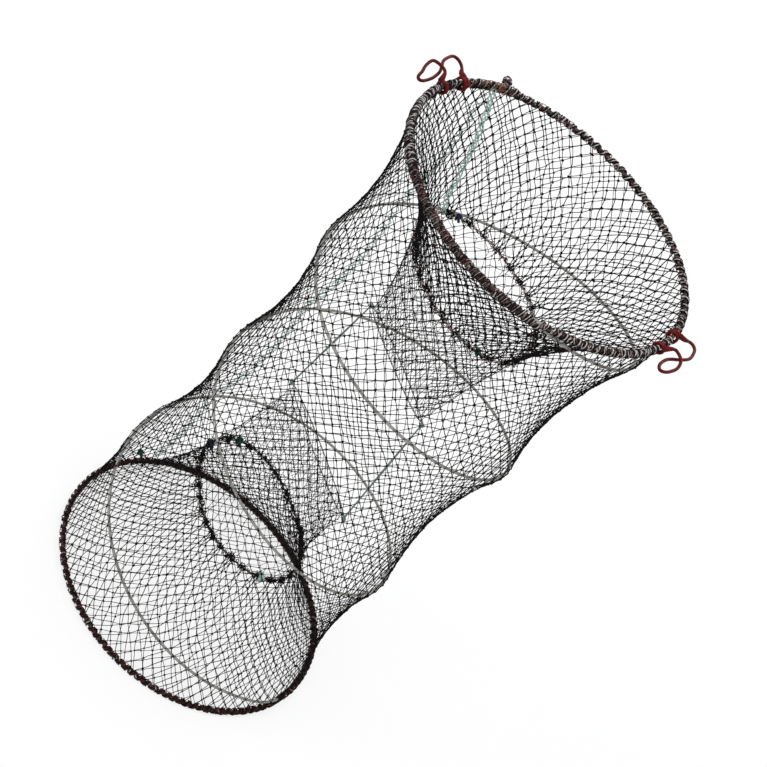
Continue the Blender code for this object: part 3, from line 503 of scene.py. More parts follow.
BLACK = (0.005, 0.0038, 0.0035)
FINISHES = {
    "net": twine_finish("net_thread", 2, [BLACK, (0.009, 0.0065, 0.0055)], 0.16, 0.6, 0.0, shine=0.03),
    "black": twine_finish("twine_black", 3, [(0.005, 0.0037, 0.0037), (0.003, 0.0024, 0.0024), (0.009, 0.006, 0.0055)],
                          0.36, 0.5, 0.0, ((0.2, (0.06, 0.035, 0.03), 300.0),), 0.06),
    "brown": twine_finish("twine_brown", 3, [(0.16, 0.09, 0.08), (0.02, 0.012, 0.011), (0.08, 0.04, 0.036)],
                          0.36, 0.45, 0.0, ((0.7, (0.012, 0.008, 0.008), 300.0),), 0.1),
    "maroon": twine_finish("twine_maroon", 3, [(0.11, 0.012, 0.014), (0.03, 0.008, 0.008), (0.06, 0.012, 0.012)],
                           0.36, 0.45, 0.0, ((0.6, (0.010, 0.007, 0.007), 240.0),), 0.15),
    "mottled": twine_finish("twine_mottled", 3, [(0.012, 0.009, 0.009), (0.03, 0.016, 0.015), (0.02, 0.012, 0.012)],
                            0.36, 0.45, 0.0, ((1.0, (0.12, 0.014, 0.016), 45.0), (1.0, (0.42, 0.32, 0.30), 380.0),
                                              (0.9, (0.008, 0.006, 0.006), 210.0)), 0.15),
    # Pale grey twine broken by dark patches: painted highlights, light strands and loops that stand in for glints on
    # dark glossy twine
    "grey_highlight": twine_finish("twine_grey", 3, [(0.92, 0.88, 0.86), (0.75, 0.67, 0.65), (0.95, 0.92, 0.90)], 0.36, 0.45,
                         0.0, ((0.85, (0.02, 0.013, 0.012), 330.0),), 0.3),
    # Pale pink twine: the top rim's cord in its own colour, and painted highlights where the top ring's strokes use it
    "pink": twine_finish("twine_pink", 3, [(0.80, 0.62, 0.58), (0.42, 0.22, 0.20), (0.85, 0.70, 0.66)], 0.36, 0.45,
                         0.0, ((0.8, (0.10, 0.012, 0.014), 260.0),), 0.2),
    # Rose twine: curls, and painted highlights where the top ring's strokes use it
    "rose": twine_finish("twine_rose", 3, [(0.40, 0.20, 0.18), (0.13, 0.03, 0.03), (0.5, 0.3, 0.28)], 0.36, 0.45,
                         0.0, ((0.8, (0.03, 0.008, 0.008), 300.0),), 0.1),
    "inner": twine_finish("twine_inner", 3, [(0.20, 0.13, 0.12), (0.014, 0.008, 0.008), (0.07, 0.02, 0.018)], 0.3, 0.5,
                          0.0, ((0.7, (0.42, 0.34, 0.32), 330.0), (0.8, (0.010, 0.006, 0.006), 200.0)), 0.08),
    "inner_dark": twine_finish("twine_inner_dark", 3, [(0.15, 0.08, 0.07), (0.016, 0.010, 0.010), (0.07, 0.02, 0.018)],
                               0.3, 0.5, 0.0, ((0.7, (0.012, 0.008, 0.008), 200.0),), 0.12),
    "orange": twine_finish("twine_orange", 3, [(0.50, 0.17, 0.10), (0.14, 0.025, 0.015), (0.66, 0.42, 0.30)], 0.4, 0.5,
                           0.0, ((0.8, (0.03, 0.012, 0.010), 300.0),), 0.2),
    "guy": twine_finish("cord_guy", 2, [(0.22, 0.29, 0.26), (0.33, 0.40, 0.37)], 0.3, shine=0.1),
    "pale_green": twine_finish("thread_pale_green", 2, [(0.50, 0.80, 0.69), (0.58, 0.86, 0.76)], 0.2, shine=0.1),
    "dark_green": twine_finish("cord_dark_green", 3, [(0.015, 0.07, 0.052), (0.008, 0.035, 0.028), (0.05, 0.17, 0.13)],
                               0.35, shine=0.15),
    "blue": twine_finish("cord_blue", 3, [(0.008, 0.018, 0.055), (0.006, 0.010, 0.03), (0.02, 0.04, 0.09)], 0.35,
                         shine=0.15),
    "steel": steel_finish("spring_steel", (0.31, 0.305, 0.285), 0.42),
    "ring_steel": steel_finish("ring_steel", (0.30, 0.29, 0.28), 0.46),
    "coating": coating_finish("clip_coating", (0.15, 0.004, 0.003)),
}


# Rings and their windings

class Ring:
    """The doubled end turn of the spring, and the twine bound round it."""

    def __init__(self, name, body, height, start, way, seed):
        self.name, self.body, self.height = name, body, height
        self.start, self.way = start, way
        self.rng = np.random.default_rng(seed)

    def core(self, azimuth):
        """Height of the wires' middle over the ring's plane, and half the distance between two strands."""
        run = ((azimuth - self.start) * self.way) % TAU
        change = smoothstep((run - DOUBLED - STRAND_CHANGE_MARGIN)
                            / (TAU - DOUBLED - 2 * STRAND_CHANGE_MARGIN))
        single = self.way * STRAND_OFFSET * (1 - 2 * change)
        ease = 0.10
        inside = smoothstep(run / ease) * smoothstep((DOUBLED + ease - run) / ease)
        wraps = smoothstep((run - TAU + ease) / ease)
        share = np.maximum(inside, wraps * 0)
        return single * (1 - share), STRAND_OFFSET * share

    def section(self, azimuth, angle, distance):
        """Point round the wires at an angle and distance off their surface's middle line."""
        middle, spread = self.core(azimuth)
        up = np.sin(angle)
        flat = up / np.sqrt(up * up + 0.10)
        radius = RING_RADIUS + distance * np.cos(angle)
        rise = middle + distance * up + spread * flat
        return polar(radius, azimuth, self.height + rise)

    def pressed(self, azimuth):
        """Share, 0 to 1, by which the clips' feet and the lashing press the winding down."""
        if self.name != "top":
            return np.zeros_like(azimuth)
        share = np.zeros_like(azimuth)
        foot = CLIP_FOOT_OFFSET / RING_RADIUS
        places = [(side, 0.033, 1.0) for middle in (CLIP_AZIMUTH, math.pi - CLIP_AZIMUTH)
                  for side in (middle - foot, middle + foot)]
        for place, half, most in [*places, (math.radians(151.0), 0.03, 0.55)]:
            away = np.abs((azimuth - place + math.pi) % TAU - math.pi)
            share = np.maximum(share, most * (1 - smoothstep((away - half) / 0.02)))
        return share

    def wires(self):
        sweep_angle = 1.44 * TAU
        run = np.linspace(0, sweep_angle, 300)
        change = smoothstep((run - DOUBLED - STRAND_CHANGE_MARGIN)
                            / (TAU - DOUBLED - 2 * STRAND_CHANGE_MARGIN))
        rise = self.way * STRAND_OFFSET * (1 - 2 * change)
        route = polar(RING_RADIUS, self.start + self.way * run, self.height + rise)
        add_piece(f"{self.name}_ring_wire_drawn", sweep(route, WIRE_RADIUS, 12), FINISHES["ring_steel"], self.body,
                  [f"{self.name}_ring_wire"])

    def inner_layer(self, finish):
        """Close layer of thin twine on the wires, seen between the bundle's turns."""
        azimuth, angle = np.meshgrid(np.arange(720) / 720 * TAU, np.arange(14) / 14 * TAU, indexing="ij")
        points = self.section(azimuth, angle, WIRE_RADIUS + INNER_LAYER)
        points[..., 2] = np.maximum(points[..., 2], 0.00003)
        along, around = np.meshgrid(np.arange(720), np.arange(14), indexing="ij")
        along, around = along.ravel(), around.ravel()
        ahead, beside = (along + 1) % 720, (around + 1) % 14
        faces = np.stack([along * 14 + around, ahead * 14 + around, ahead * 14 + beside, along * 14 + beside], 1)
        step = RING_RADIUS * TAU / 720 * 100
        u0, u1, v0, v1 = along * step, (along + 1) * step, around / 14, (around + 1) / 14
        uvs = np.stack([np.stack([u0, v0], 1), np.stack([u1, v0], 1), np.stack([u1, v1], 1),
                        np.stack([u0, v1], 1)], 1)
        add_piece(f"{self.name}_inner_twine", {"points": points.reshape(-1, 3), "faces": [(faces, uvs)]},
                  FINISHES[finish], self.body, [f"{self.name}_ring_whipping"])

    def winding(self, table, strands, crossing):
        """Strands laid side by side as one bundle, turn after turn, and a thin one that crosses them."""
        fine = np.linspace(0, TAU, 2881)
        columns = np.array(table).T
        degrees = np.degrees(fine) % 360
        pitch, size, lift = (np.interp(degrees, columns[0], row, period=360) for row in columns[1:])
        pitch = pitch * MM / (1 + 0.09 * ripple(self.rng, fine / TAU, (6, 11, 17)))
        whole = np.concatenate([[0], np.cumsum(RING_RADIUS * (1 / pitch[1:] + 1 / pitch[:-1]) / 2 * np.diff(fine))])
        turns = round(whole[-1])
        phase = np.arange(turns * 14) / 14 * TAU
        azimuth = np.interp(phase, whole * turns * TAU / whole[-1], fine)
        pitch, size, lift = (np.interp(azimuth, fine, row) for row in (pitch, size, lift * MM))
        share = azimuth / TAU
        swell = ripple(self.rng, share, (19, 37, 53, 71))
        press = self.pressed(azimuth)
        radii = [TWINE_RADIUS * thickness * size * (1 + 0.10 * ripple(self.rng, share, (13, 29, 61)))
                 for _, thickness in strands]
        total = 1.96 * sum(radii)
        squeeze = np.minimum(1, 0.97 * pitch / total)
        groups, before = {}, -total / 2
        for (finish, _), radius in zip(strands, radii):
            place = (before + 0.98 * radius) * squeeze
            before = before + 1.96 * radius
            angle = phase - TAU * place / pitch + 0.14 * ripple(self.rng, share, (23, 41, 97))
            proud = 1 - np.abs(2 * place / (total * squeeze)) ** 2
            loose = 0.10 * MM * (1 + ripple(self.rng, share, (47, 83, 109)))
            rise = (proud * lift * (1 + 0.5 * swell) + loose * size) * (1 - press)
            radius = radius * (1 - 0.85 * press)
            groups.setdefault(finish, []).append((angle, radius, rise))
        finish, thickness, count = crossing
        angle = -azimuth * round(turns / count) + 0.5 * ripple(self.rng, share, (5, 9, 31))
        radius = TWINE_RADIUS * thickness * size * (1 - 0.85 * press)
        groups.setdefault(finish, []).append((angle, radius, (1.7 * radii[0] + lift * 0.6) * (1 - 0.5 * press)))
        for finish, items in groups.items():
            batches = []
            for angle, radius, rise in items:
                route = self.section(azimuth, angle, WIRE_RADIUS + INNER_LAYER + radius + rise)
                if self.name == "bottom":
                    route[:, 2] = np.maximum(route[:, 2], radius + 0.00003)
                batches.append(sweep(route, radius, 7, closed=True, lobes=3, depth=0.12, lay=0.0036))
            add_piece(f"{self.name}_winding_{finish}", batches, FINISHES[finish], self.body)

    def curls(self, table, finishes):
        """Short loose loops of thread all round, which break up the winding's outline."""
        columns = np.array(table).T
        t = np.linspace(0, 1, 8)
        batches = {}
        for finish, count, radius, first, last in finishes:
            middle = np.radians(self.rng.uniform(first, last, count))
            size = np.interp(np.degrees(middle), columns[0], columns[2], period=360)
            thinned = self.rng.uniform(0, 1, count) < (size ** 2 if last - first == 360 else 1)
            middle = middle[(self.pressed(middle) < 0.05) & thinned][:, None]
            size = np.interp(np.degrees(middle), columns[0], columns[2], period=360)
            some = [self.rng.uniform(low, high, middle.shape) for low, high in ((0, TAU), (-2.2, 2.2), (-1, 1), (0, 1))]
            angle = some[0] + some[1] * (t - 0.5)
            azimuth = middle + some[2] * 0.022 * (t - 0.5)
            reach = WIRE_RADIUS + INNER_LAYER + TWINE_RADIUS * size * (1.6 + 1.9 * some[3] * np.sin(math.pi * t))
            arcs = self.section(azimuth, angle, reach)
            if self.name == "bottom":
                arcs[..., 2] = np.maximum(arcs[..., 2], radius + 0.00003)
            batches.setdefault(finish, []).append(sweep(arcs, radius, 5))
        for finish, items in batches.items():
            add_piece(f"{self.name}_curls_{finish}", items, FINISHES[finish], self.body)

    def strokes(self, table, rows):
        """Painted highlights: pale strands that lie over the side of the winding that faces the camera, seen from above
        and outside.
        """
        columns = np.array(table).T
        t = np.linspace(-1, 1, 11)
        batches = {}
        for first, last, step, ahead, finish in rows:
            count = round((last - first) / step)
            middle = np.radians(first + (np.arange(count) + self.rng.uniform(-0.6, 0.6, count)) * step)
            middle = middle[self.pressed(middle) < 0.05][:, None]
            size, lift = (np.interp(np.degrees(middle), columns[0], row, period=360) for row in columns[2:])
            # The crest faces the camera's azimuth and height, so these painted highlights lie where the camera sees the
            # ring's near top
            crest = np.arctan2(0.60, 0.80 * np.cos(math.radians(281) - middle))
            reach = self.rng.uniform(0.6, 1.25, middle.shape)
            angle = crest + self.rng.normal(0, 0.25, middle.shape) + reach * t
            slant = self.rng.normal(0, 0.007, middle.shape)
            azimuth = middle + ahead * np.abs(t) + slant * t
            distance = WIRE_RADIUS + INNER_LAYER + TWINE_RADIUS * 2.3 * size + lift * 0.6 * MM
            distance = distance - 0.0004 * np.abs(t) ** 3
            arcs = self.section(azimuth, angle, distance)
            radius = 0.00042 * np.sqrt(size) * (1 - 0.5 * np.abs(t) ** 3)
            batches.setdefault(finish, []).append(sweep(arcs, radius, 6))
        for finish, items in batches.items():
            add_piece(f"{self.name}_strokes_{finish}", items, FINISHES[finish], self.body)


# Spring

def spring_point(turn):
    height = natural_curve(SPRING_HEIGHTS, SPRING_TURNS, turn)
    radius = natural_curve(SPRING_RADII, SPRING_TURNS, turn)
    leans = np.array([(math.radians(d) * math.cos(math.radians(a)), math.radians(d) * math.sin(math.radians(a)))
                      for d, a in SPRING_LEANS])
    shifts = np.array([(d * math.cos(math.radians(a)), d * math.sin(math.radians(a)))
                       for d, a in SPRING_SHIFTS])
    lean = [natural_curve(leans[:, k], SPRING_TURNS, turn) for k in (0, 1)]
    shift = [natural_curve(shifts[:, k], SPRING_TURNS, turn) for k in (0, 1)]
    azimuth = SPRING_START + turn * TAU
    x, y = radius * np.cos(azimuth), radius * np.sin(azimuth)
    return np.stack([x + shift[0], y + shift[1], height + lean[0] * x + lean[1] * y + BOTTOM_Z], -1)


def spring_route():
    """Whole free spring: it leaves each ring's strand, then follows its own curve."""
    turn = np.unique(np.concatenate([np.linspace(0, SPRING_TURNS, 303), np.linspace(0, 0.03, 12),
                                     SPRING_TURNS - np.linspace(0, 0.03, 12)]))
    point = spring_point(turn)
    run_down = turn * TAU * RING_RADIUS
    run_up = (SPRING_TURNS - turn) * TAU * RING_RADIUS
    run = np.minimum(run_down, run_up)
    up = np.where(run_down < run_up, -1.0, 1.0)
    height = np.where(run_down < run_up, TOP_Z, BOTTOM_Z)
    depth = np.where(run < SPRING_EXIT_EASE, SPRING_EXIT_SLOPE * run ** 2 / (2 * SPRING_EXIT_EASE),
                     SPRING_EXIT_SLOPE * (run - SPRING_EXIT_EASE / 2))
    radius = RING_RADIUS + depth / math.tan(SLOT_ANGLE)
    guided = polar(radius, SPRING_START + turn * TAU, height + up * (STRAND_OFFSET + depth))
    share = smoothstep((run - SPRING_EXIT_RUN) / (SPRING_JOIN_RUN - SPRING_EXIT_RUN))[:, None]
    return guided + share * (point - guided)


# Netting

def rim_radius(rim, azimuth):
    radius, *corners = rim
    pull = 0.0
    for degrees, reach in corners:
        near = np.abs(np.cos((azimuth - math.radians(degrees)) / 2))
        pull = pull + (reach - radius) * near ** RIM_PULL_SHARPNESS
    return radius + pull


def slit_turn(slit, azimuth):
    """Turn round a slit's loop at which a net's columns lie evenly along it."""
    turn = np.linspace(0, TAU, 721)
    loop = slit_point(slit, turn + math.radians(slit[0][0]))
    run = np.concatenate([[0], np.cumsum(np.linalg.norm(np.diff(loop, axis=0), axis=1))])
    share = ((azimuth - math.radians(slit[0][0])) / TAU) % 1
    return np.interp(share * run[-1], run, turn) + math.radians(slit[0][0])


def slit_point(slit, azimuth, spread=0.0):
    corners = [np.array((r * math.cos(math.radians(a)), r * math.sin(math.radians(a)))) for a, r in slit]
    middle = (corners[0] + corners[1]) / 2
    along = (corners[0] - corners[1]) / 2
    along = along * (1 + spread / np.linalg.norm(along))
    across = np.array((-along[1], along[0])) / np.linalg.norm(along) * SLIT_HALF_WIDTH
    turn = np.asarray(azimuth) - math.radians(slit[0][0])
    return middle + np.cos(turn)[..., None] * along + np.sin(turn)[..., None] * across


def net_columns(meshes=MESHES):
    return NET_PHASE + np.arange(2 * meshes) * math.pi / meshes


def tuft_azimuth(azimuth):
    """Azimuth of the tuft that a net's column is gathered into at a throat's rim."""
    edges = np.concatenate([[0], np.cumsum(TUFTS)]) / sum(TUFTS)
    share = ((azimuth - NET_PHASE) / TAU) % 1
    index = np.clip(np.searchsorted(edges, share, side="right") - 1, 0, len(TUFTS) - 1)
    middle = (edges[index] + edges[index + 1]) / 2
    return azimuth + (middle - share) * TAU


def tuft_middles():
    edges = np.concatenate([[0], np.cumsum(TUFTS)]) / sum(TUFTS)
    return NET_PHASE + (edges[:-1] + edges[1:]) / 2 * TAU


def body_net_grid(rings, rng):
    """Rows from the top ring to the bottom ring, drawn in to a waist between the spring's turns."""
    columns = net_columns()
    rows = np.arange(BODY_ROWS + 1)
    grid = np.zeros((len(rows), len(columns), 3))
    tips = []
    for ring, way in ((rings["top"], -1), (rings["bottom"], 1)):
        middle, spread = ring.core(columns)
        tips.append((ring.height + middle + way * (spread + 0.0019 * math.sin(BODY_SEAT)),
                     np.full(len(columns), RING_RADIUS + 0.0019 * math.cos(BODY_SEAT))))
    clear = WIRE_RADIUS + THREAD_RADIUS + 0.0003
    for c, azimuth in enumerate(columns):
        top, bottom = [(float(h[c]), float(r[c])) for h, r in tips]
        heights = top[0] + (bottom[0] - top[0]) * rows / BODY_ROWS
        first = ((azimuth - SPRING_START) / TAU) % 1
        places = spring_point(np.arange(first, SPRING_TURNS, 1))
        held = [(p[2], math.hypot(p[0], p[1]) + clear) for p in places]
        held = sorted([top, bottom, *(h for h in held if bottom[0] < h[0] < top[0])], reverse=True)
        radii = np.full(len(rows), top[1])
        for (high, outer), (low, inner) in zip(held, held[1:]):
            inside = (heights <= high) & (heights >= low)
            f = (high - heights) / (high - low)
            waist = WAIST_PER_METRE * (high - low) ** 2 * 4 * f * (1 - f)
            radii = np.where(inside, outer + (inner - outer) * f - waist, radii)
        grid[:, c] = polar(radii, azimuth, heights)
    return loosened(grid, rng, 0.9 * MM, 0.45 * MM)


def loosened(grid, rng, smooth, jitter):
    """Rows and columns drift as hand-knotted meshes do, and stay put at both ends."""
    rows, columns = grid.shape[:2]
    f = np.linspace(0, 1, rows)[:, None]
    a = np.linspace(0, 1, columns, endpoint=False)[None]
    hold = np.minimum(1, np.minimum(f, 1 - f) * rows / 3)
    azimuth = np.arctan2(grid[..., 1], grid[..., 0])
    along = np.stack([-np.sin(azimuth), np.cos(azimuth), np.zeros_like(azimuth)], -1)
    out = np.stack([np.cos(azimuth), np.sin(azimuth), np.zeros_like(azimuth)], -1)
    moves = []
    for _ in range(3):
        field = 0.0
        for _ in range(6):
            field = field + np.sin(TAU * (rng.integers(1, 7) * a + rng.uniform(0.5, 6) * f) + rng.uniform(0, TAU))
        moves.append(smooth * field / math.sqrt(6) + rng.normal(0, jitter, (rows, columns)))
    shift = along * moves[0][..., None] + out * moves[1][..., None] * 0.5
    shift[..., 2] += moves[2]
    return grid + shift * hold[..., None]


def knot_mask(grid):
    rows, columns = grid.shape[:2]
    return (np.add.outer(np.arange(rows), np.arange(columns)) % 2) == 0


def pushed_off(grid, route, needed):
    """Knots move away from the axis until the threads between them clear a route."""
    rows, columns = grid.shape[:2]
    mask = knot_mask(grid)
    r, c = np.nonzero(mask[:-1])
    links = [(r, c, r + 1, (c + step) % columns) for step in (1, -1)]
    shares = np.linspace(0, 1, 7)[:, None, None]
    for _ in range(8):
        push = np.zeros((rows, columns))
        for r0, c0, r1, c1 in links:
            a, b = grid[r0, c0], grid[r1, c1]
            samples = a + (b - a) * shares
            gap = distance_to_route(samples.reshape(-1, 3), route).reshape(len(shares), -1).min(axis=0)
            short = np.maximum(needed - gap, 0)
            np.maximum.at(push, (r0, c0), short)
            np.maximum.at(push, (r1, c1), short)
        push[[0, -1]] = 0
        if push.max() < 0.00002:
            break
        radius = np.linalg.norm(grid[..., :2], axis=2)
        grid[..., :2] *= (1 + push / radius)[..., None]
    return grid


def even_shares(lengths_at, total, rows, bar, meshes=MESHES):
    """Shares of a surface's length at each half row, so that every bar is about as long."""
    shares = [0.0]
    for _ in range(rows):
        half = lengths_at(min(shares[-1], 1.0)) / (2 * meshes)
        shares.append(shares[-1] + math.sqrt(max(bar ** 2 - half ** 2, 1e-6)) / total)
    return np.array(shares) / shares[-1]


def funnel_grid(ring, rim, depth, way, rng):
    """From the ring's inner side to the throat's rim. way is -1 for the top throat, 1 for the bottom."""
    columns = net_columns(FUNNEL_MESHES)
    middle, spread = ring.core(columns)
    start_radius = RING_RADIUS + 0.0019 * math.cos(FUNNEL_SEAT)
    start_height = ring.height + middle + way * 0.0019 * math.sin(FUNNEL_SEAT)
    end_height = ring.height + way * depth
    mean = rim_radius(rim, columns).mean()
    total = math.hypot(depth, start_radius - mean)
    shares = even_shares(lambda f: TAU * (start_radius + (mean - start_radius) * f), total, FUNNEL_ROWS, FUNNEL_BAR,
                         FUNNEL_MESHES)
    grid = np.zeros((FUNNEL_ROWS + 1, len(columns), 3))
    for row, f in enumerate(shares):
        gather = GATHER * smoothstep((f - 0.80) / 0.20)
        azimuth = columns + gather * (tuft_azimuth(columns) - columns)
        radius = start_radius + (rim_radius(rim, azimuth) - start_radius) * f - FUNNEL_SAG * 4 * f * (1 - f)
        grid[row] = polar(radius, azimuth, start_height + (end_height - start_height) * f)
    return loosened(grid, rng, 0.7 * MM, 0.4 * MM)


def sock_grid(rim, slit, rim_height, slit_height, rng):
    """From the rim to the flattened slit."""
    columns = net_columns(SOCK_MESHES)
    ring_length = TAU * rim_radius(rim, columns).mean()
    slit_loop = slit_point(slit, columns)
    slit_length = np.linalg.norm(np.diff(np.vstack([slit_loop, slit_loop[:1]]), axis=0), axis=1).sum()
    total = abs(slit_height - rim_height) * 1.06
    shares = even_shares(lambda f: ring_length + (slit_length - ring_length) * f, total, SOCK_ROWS, SOCK_BAR,
                         SOCK_MESHES)
    grid = np.zeros((SOCK_ROWS + 1, len(columns), 3))
    for row, f in enumerate(shares):
        gather = 0.8 * (1 - smoothstep(f / 0.18))
        azimuth = columns + gather * (tuft_azimuth(columns) - columns)
        start = polar(rim_radius(rim, azimuth), azimuth, 0.0)[..., :2]
        x, y = np.moveaxis(start + (slit_point(slit, slit_turn(slit, azimuth)) - start) * f, -1, 0)
        grid[row] = np.stack([x, y, np.full_like(x, rim_height + (slit_height - rim_height) * f)], -1)
    return loosened(grid, rng, 0.6 * MM, 0.4 * MM)


def add_slit_edge(name, grid):
    """Thread run through the last meshes of a throat's sock."""
    batches = [sweep(grid[-1] + np.array((0, 0, lift)), 0.00024, 6, closed=True) for lift in (0, 0.0008)]
    add_piece(f"{name}_slit_edge", batches, FINISHES["net"], "bottom_end", [], True)


def add_net(name, grid, rng, replaced, thread=THREAD_RADIUS):
    """Threads between the knots of every other place in a grid, and the knots."""
    columns = grid.shape[1]
    mask = knot_mask(grid)
    r, c = np.nonzero(mask[:-1])
    starts = np.vstack([grid[r, c], grid[r, c]])
    ends = np.vstack([grid[r + 1, (c + 1) % columns], grid[r + 1, (c - 1) % columns]])
    middles = (starts + ends) / 2 + rng.normal(0, 0.22 * MM, starts.shape)
    middles[:, 2] -= 0.12 * MM
    radii = thread * rng.uniform(0.88, 1.12, (len(starts), 1))
    threads = sweep(np.stack([starts, middles, ends], 1), radii, 4, caps=False)
    add_piece(f"{name}_threads", threads, FINISHES["net"], "bottom_end", [replaced], True)
    places = grid[mask]
    azimuth = np.arctan2(places[:, 1], places[:, 0]) + rng.normal(0, 0.4, len(places))
    tilt = rng.normal(0, 0.35, len(places))
    zero = np.zeros_like(azimuth)
    out = np.stack([np.cos(azimuth), np.sin(azimuth), zero], -1)
    along = np.stack([-np.sin(azimuth) * np.cos(tilt), np.cos(azimuth) * np.cos(tilt), np.sin(tilt)], -1)
    axes = np.stack([along, np.cross(out, along), out], 1)
    radii = 2.5 * thread * rng.uniform(0.8, 1.2, (len(places), 1)) * np.array([[1.2, 1.0, 0.85]])
    add_piece(f"{name}_knots", blobs(places, axes, radii, rng), FINISHES["net"], "bottom_end", [],
              True)


# Throat rims

def rim_place(rim, height, azimuth, angle, distance):
    radius = rim_radius(rim, azimuth) + distance * np.cos(angle)
    return polar(radius, azimuth, height + distance * np.sin(angle))


def add_rim(name, rim, height, body, seed, finishes, tufts, thickness, spikes):
    """Cord with twine wound round it, and the nets' meshes gathered on to it in tufts."""
    rng = np.random.default_rng(seed)
    share = np.arange(240) / 240
    azimuth = NET_PHASE + share * TAU
    cord = rim_place(rim, height, azimuth, 0.0, 0.0)
    add_piece(f"{name}_rim_cord", sweep(cord, 0.0007, 9, closed=True, lobes=3, depth=0.12, lay=0.005),
              FINISHES[finishes[0]], body, [f"{name}_throat_rim"])
    turns = 58
    share = np.arange(turns * 12) / (turns * 12)
    azimuth = NET_PHASE + share * TAU
    batches = []
    for k in range(2):
        angle = TAU * turns * share + k * 1.9 + 0.7 * ripple(rng, share, (5, 9, 17))
        distance = 0.0010 + 0.0003 * (1 + ripple(rng, share, (7, 13, 23)))
        batches.append(sweep(rim_place(rim, height, azimuth, angle, distance), 0.00030, 6, closed=True, lobes=3,
                             depth=0.1, lay=0.004))
    add_piece(f"{name}_rim_winding", batches, FINISHES[finishes[1]], body)
    edges = tuft_middles()
    arcs = []
    for _ in range(tufts):
        middle = rng.choice(edges) + rng.normal(0, 0.035) if rng.random() < 0.7 else rng.uniform(0, TAU)
        t = np.linspace(0, 1, 9)
        begin = rng.uniform(0, TAU)
        angle = begin + rng.uniform(-1, 1) * TAU * 0.55 * t
        spike = rng.uniform(0, 1) ** 2
        reach = 0.0010 + rng.uniform(0, 0.0008) + (0.0007 + spikes * spike) * np.sin(math.pi * t)
        arcs.append(rim_place(rim, height, middle + rng.normal(0, 0.045) * (t - 0.5), angle, reach))
    add_piece(f"{name}_rim_tufts", sweep(np.array(arcs), thickness, 5), FINISHES["net"], body)


# Knots, lacings and cords

def knot_route(centre, radius, direction, tail=0.0, seed=0, windings=(2, 3), bulk=0.30):
    """Pulled-tight knot on its own axis, with its two ends led out as short tails."""
    rng = np.random.default_rng(seed)
    p, q = windings
    t = np.linspace(0.04, 0.96, 64) * TAU
    major, minor = radius * (1 - bulk) * 0.56, radius * (1 - bulk) * 0.44
    ring = major + minor * np.cos(q * t)
    local = np.stack([ring * np.cos(p * t), ring * np.sin(p * t), minor * np.sin(q * t) * 1.15], -1)
    axis = Vector(direction).normalized()
    turn = np.array(axis.to_track_quat("Z", "Y").to_matrix())
    route = local @ turn.T + np.asarray(centre)
    if tail:
        ends = []
        for end, step in ((route[0], route[0] - route[1]), (route[-1], route[-1] - route[-2])):
            lead = unit(step + 0.5 * unit(np.asarray(end) - centre) * np.linalg.norm(step))
            droop = np.array((0, 0, -0.25)) + rng.normal(0, 0.15, 3)
            ends.append([end + lead * tail * f + droop * tail * f * f for f in (0.35, 0.7, 1.0)])
        route = np.vstack([ends[0][::-1], route, ends[1]])
    return route


def add_knot(name, centre, radius, direction, finish, body, replaced, tail=0.0, seed=0, squashed=False,
             windings=(2, 3), bulk=0.30):
    """Crossing strands round a small hidden core of the same cord."""
    route = knot_route(np.asarray(centre, float), radius, direction, tail, seed, windings, bulk)
    strand = radius * bulk
    core = sweep(np.asarray(centre) + np.outer(np.linspace(-1, 1, 7), unit(np.array(direction, float)))
                 * radius * 0.4, strand * np.array([0.2, 0.8, 1.1, 1.2, 1.1, 0.8, 0.2]), 8)
    return add_piece(name, [sweep(route, strand, 8, lobes=3, depth=0.1, lay=strand * 6), core], FINISHES[finish],
                     body, [replaced] if replaced else [], squashed)


def add_guy(side, corner):
    """Cord that ties a corner of one sock to the same corner of the other, a knot at each end."""
    ends = []
    for where, slit, height, way in (("upper", TOP_SLIT, TOP_SLIT_HEIGHT, -1),
                                     ("lower", BOTTOM_SLIT, BOTTOM_SLIT_HEIGHT, 1)):
        azimuth = math.radians(slit[0][0]) + (0 if corner == 0 else math.pi)
        x, y = slit_point(slit, azimuth, KNOT_RADIUS + 0.0003 + 0.0004)
        centre = np.array((float(x), float(y), height + BOTTOM_Z))
        add_knot(f"{where}_{side}_knot_tied", centre, KNOT_RADIUS, (0.4, 0.2, 1.0), "guy", "bottom_end",
                 f"{where}_{side}_guy_knot", 0.003, 40 + corner, True)
        ends.append(centre)
    direction = (ends[1] - ends[0]) / np.linalg.norm(ends[1] - ends[0])
    start = ends[0] + direction * KNOT_RADIUS * 0.6
    end = ends[1] - direction * KNOT_RADIUS * 0.6
    t = np.linspace(0, 1, 25)[:, None]
    path = start + (end - start) * t
    cord = add_piece(f"{side}_guy", sweep(path, GUY_DIAMETER / 2, 10, lobes=2, depth=0.2, lay=0.006),
                     FINISHES["guy"], "bottom_end", [f"{side}_guy_cord"], True)


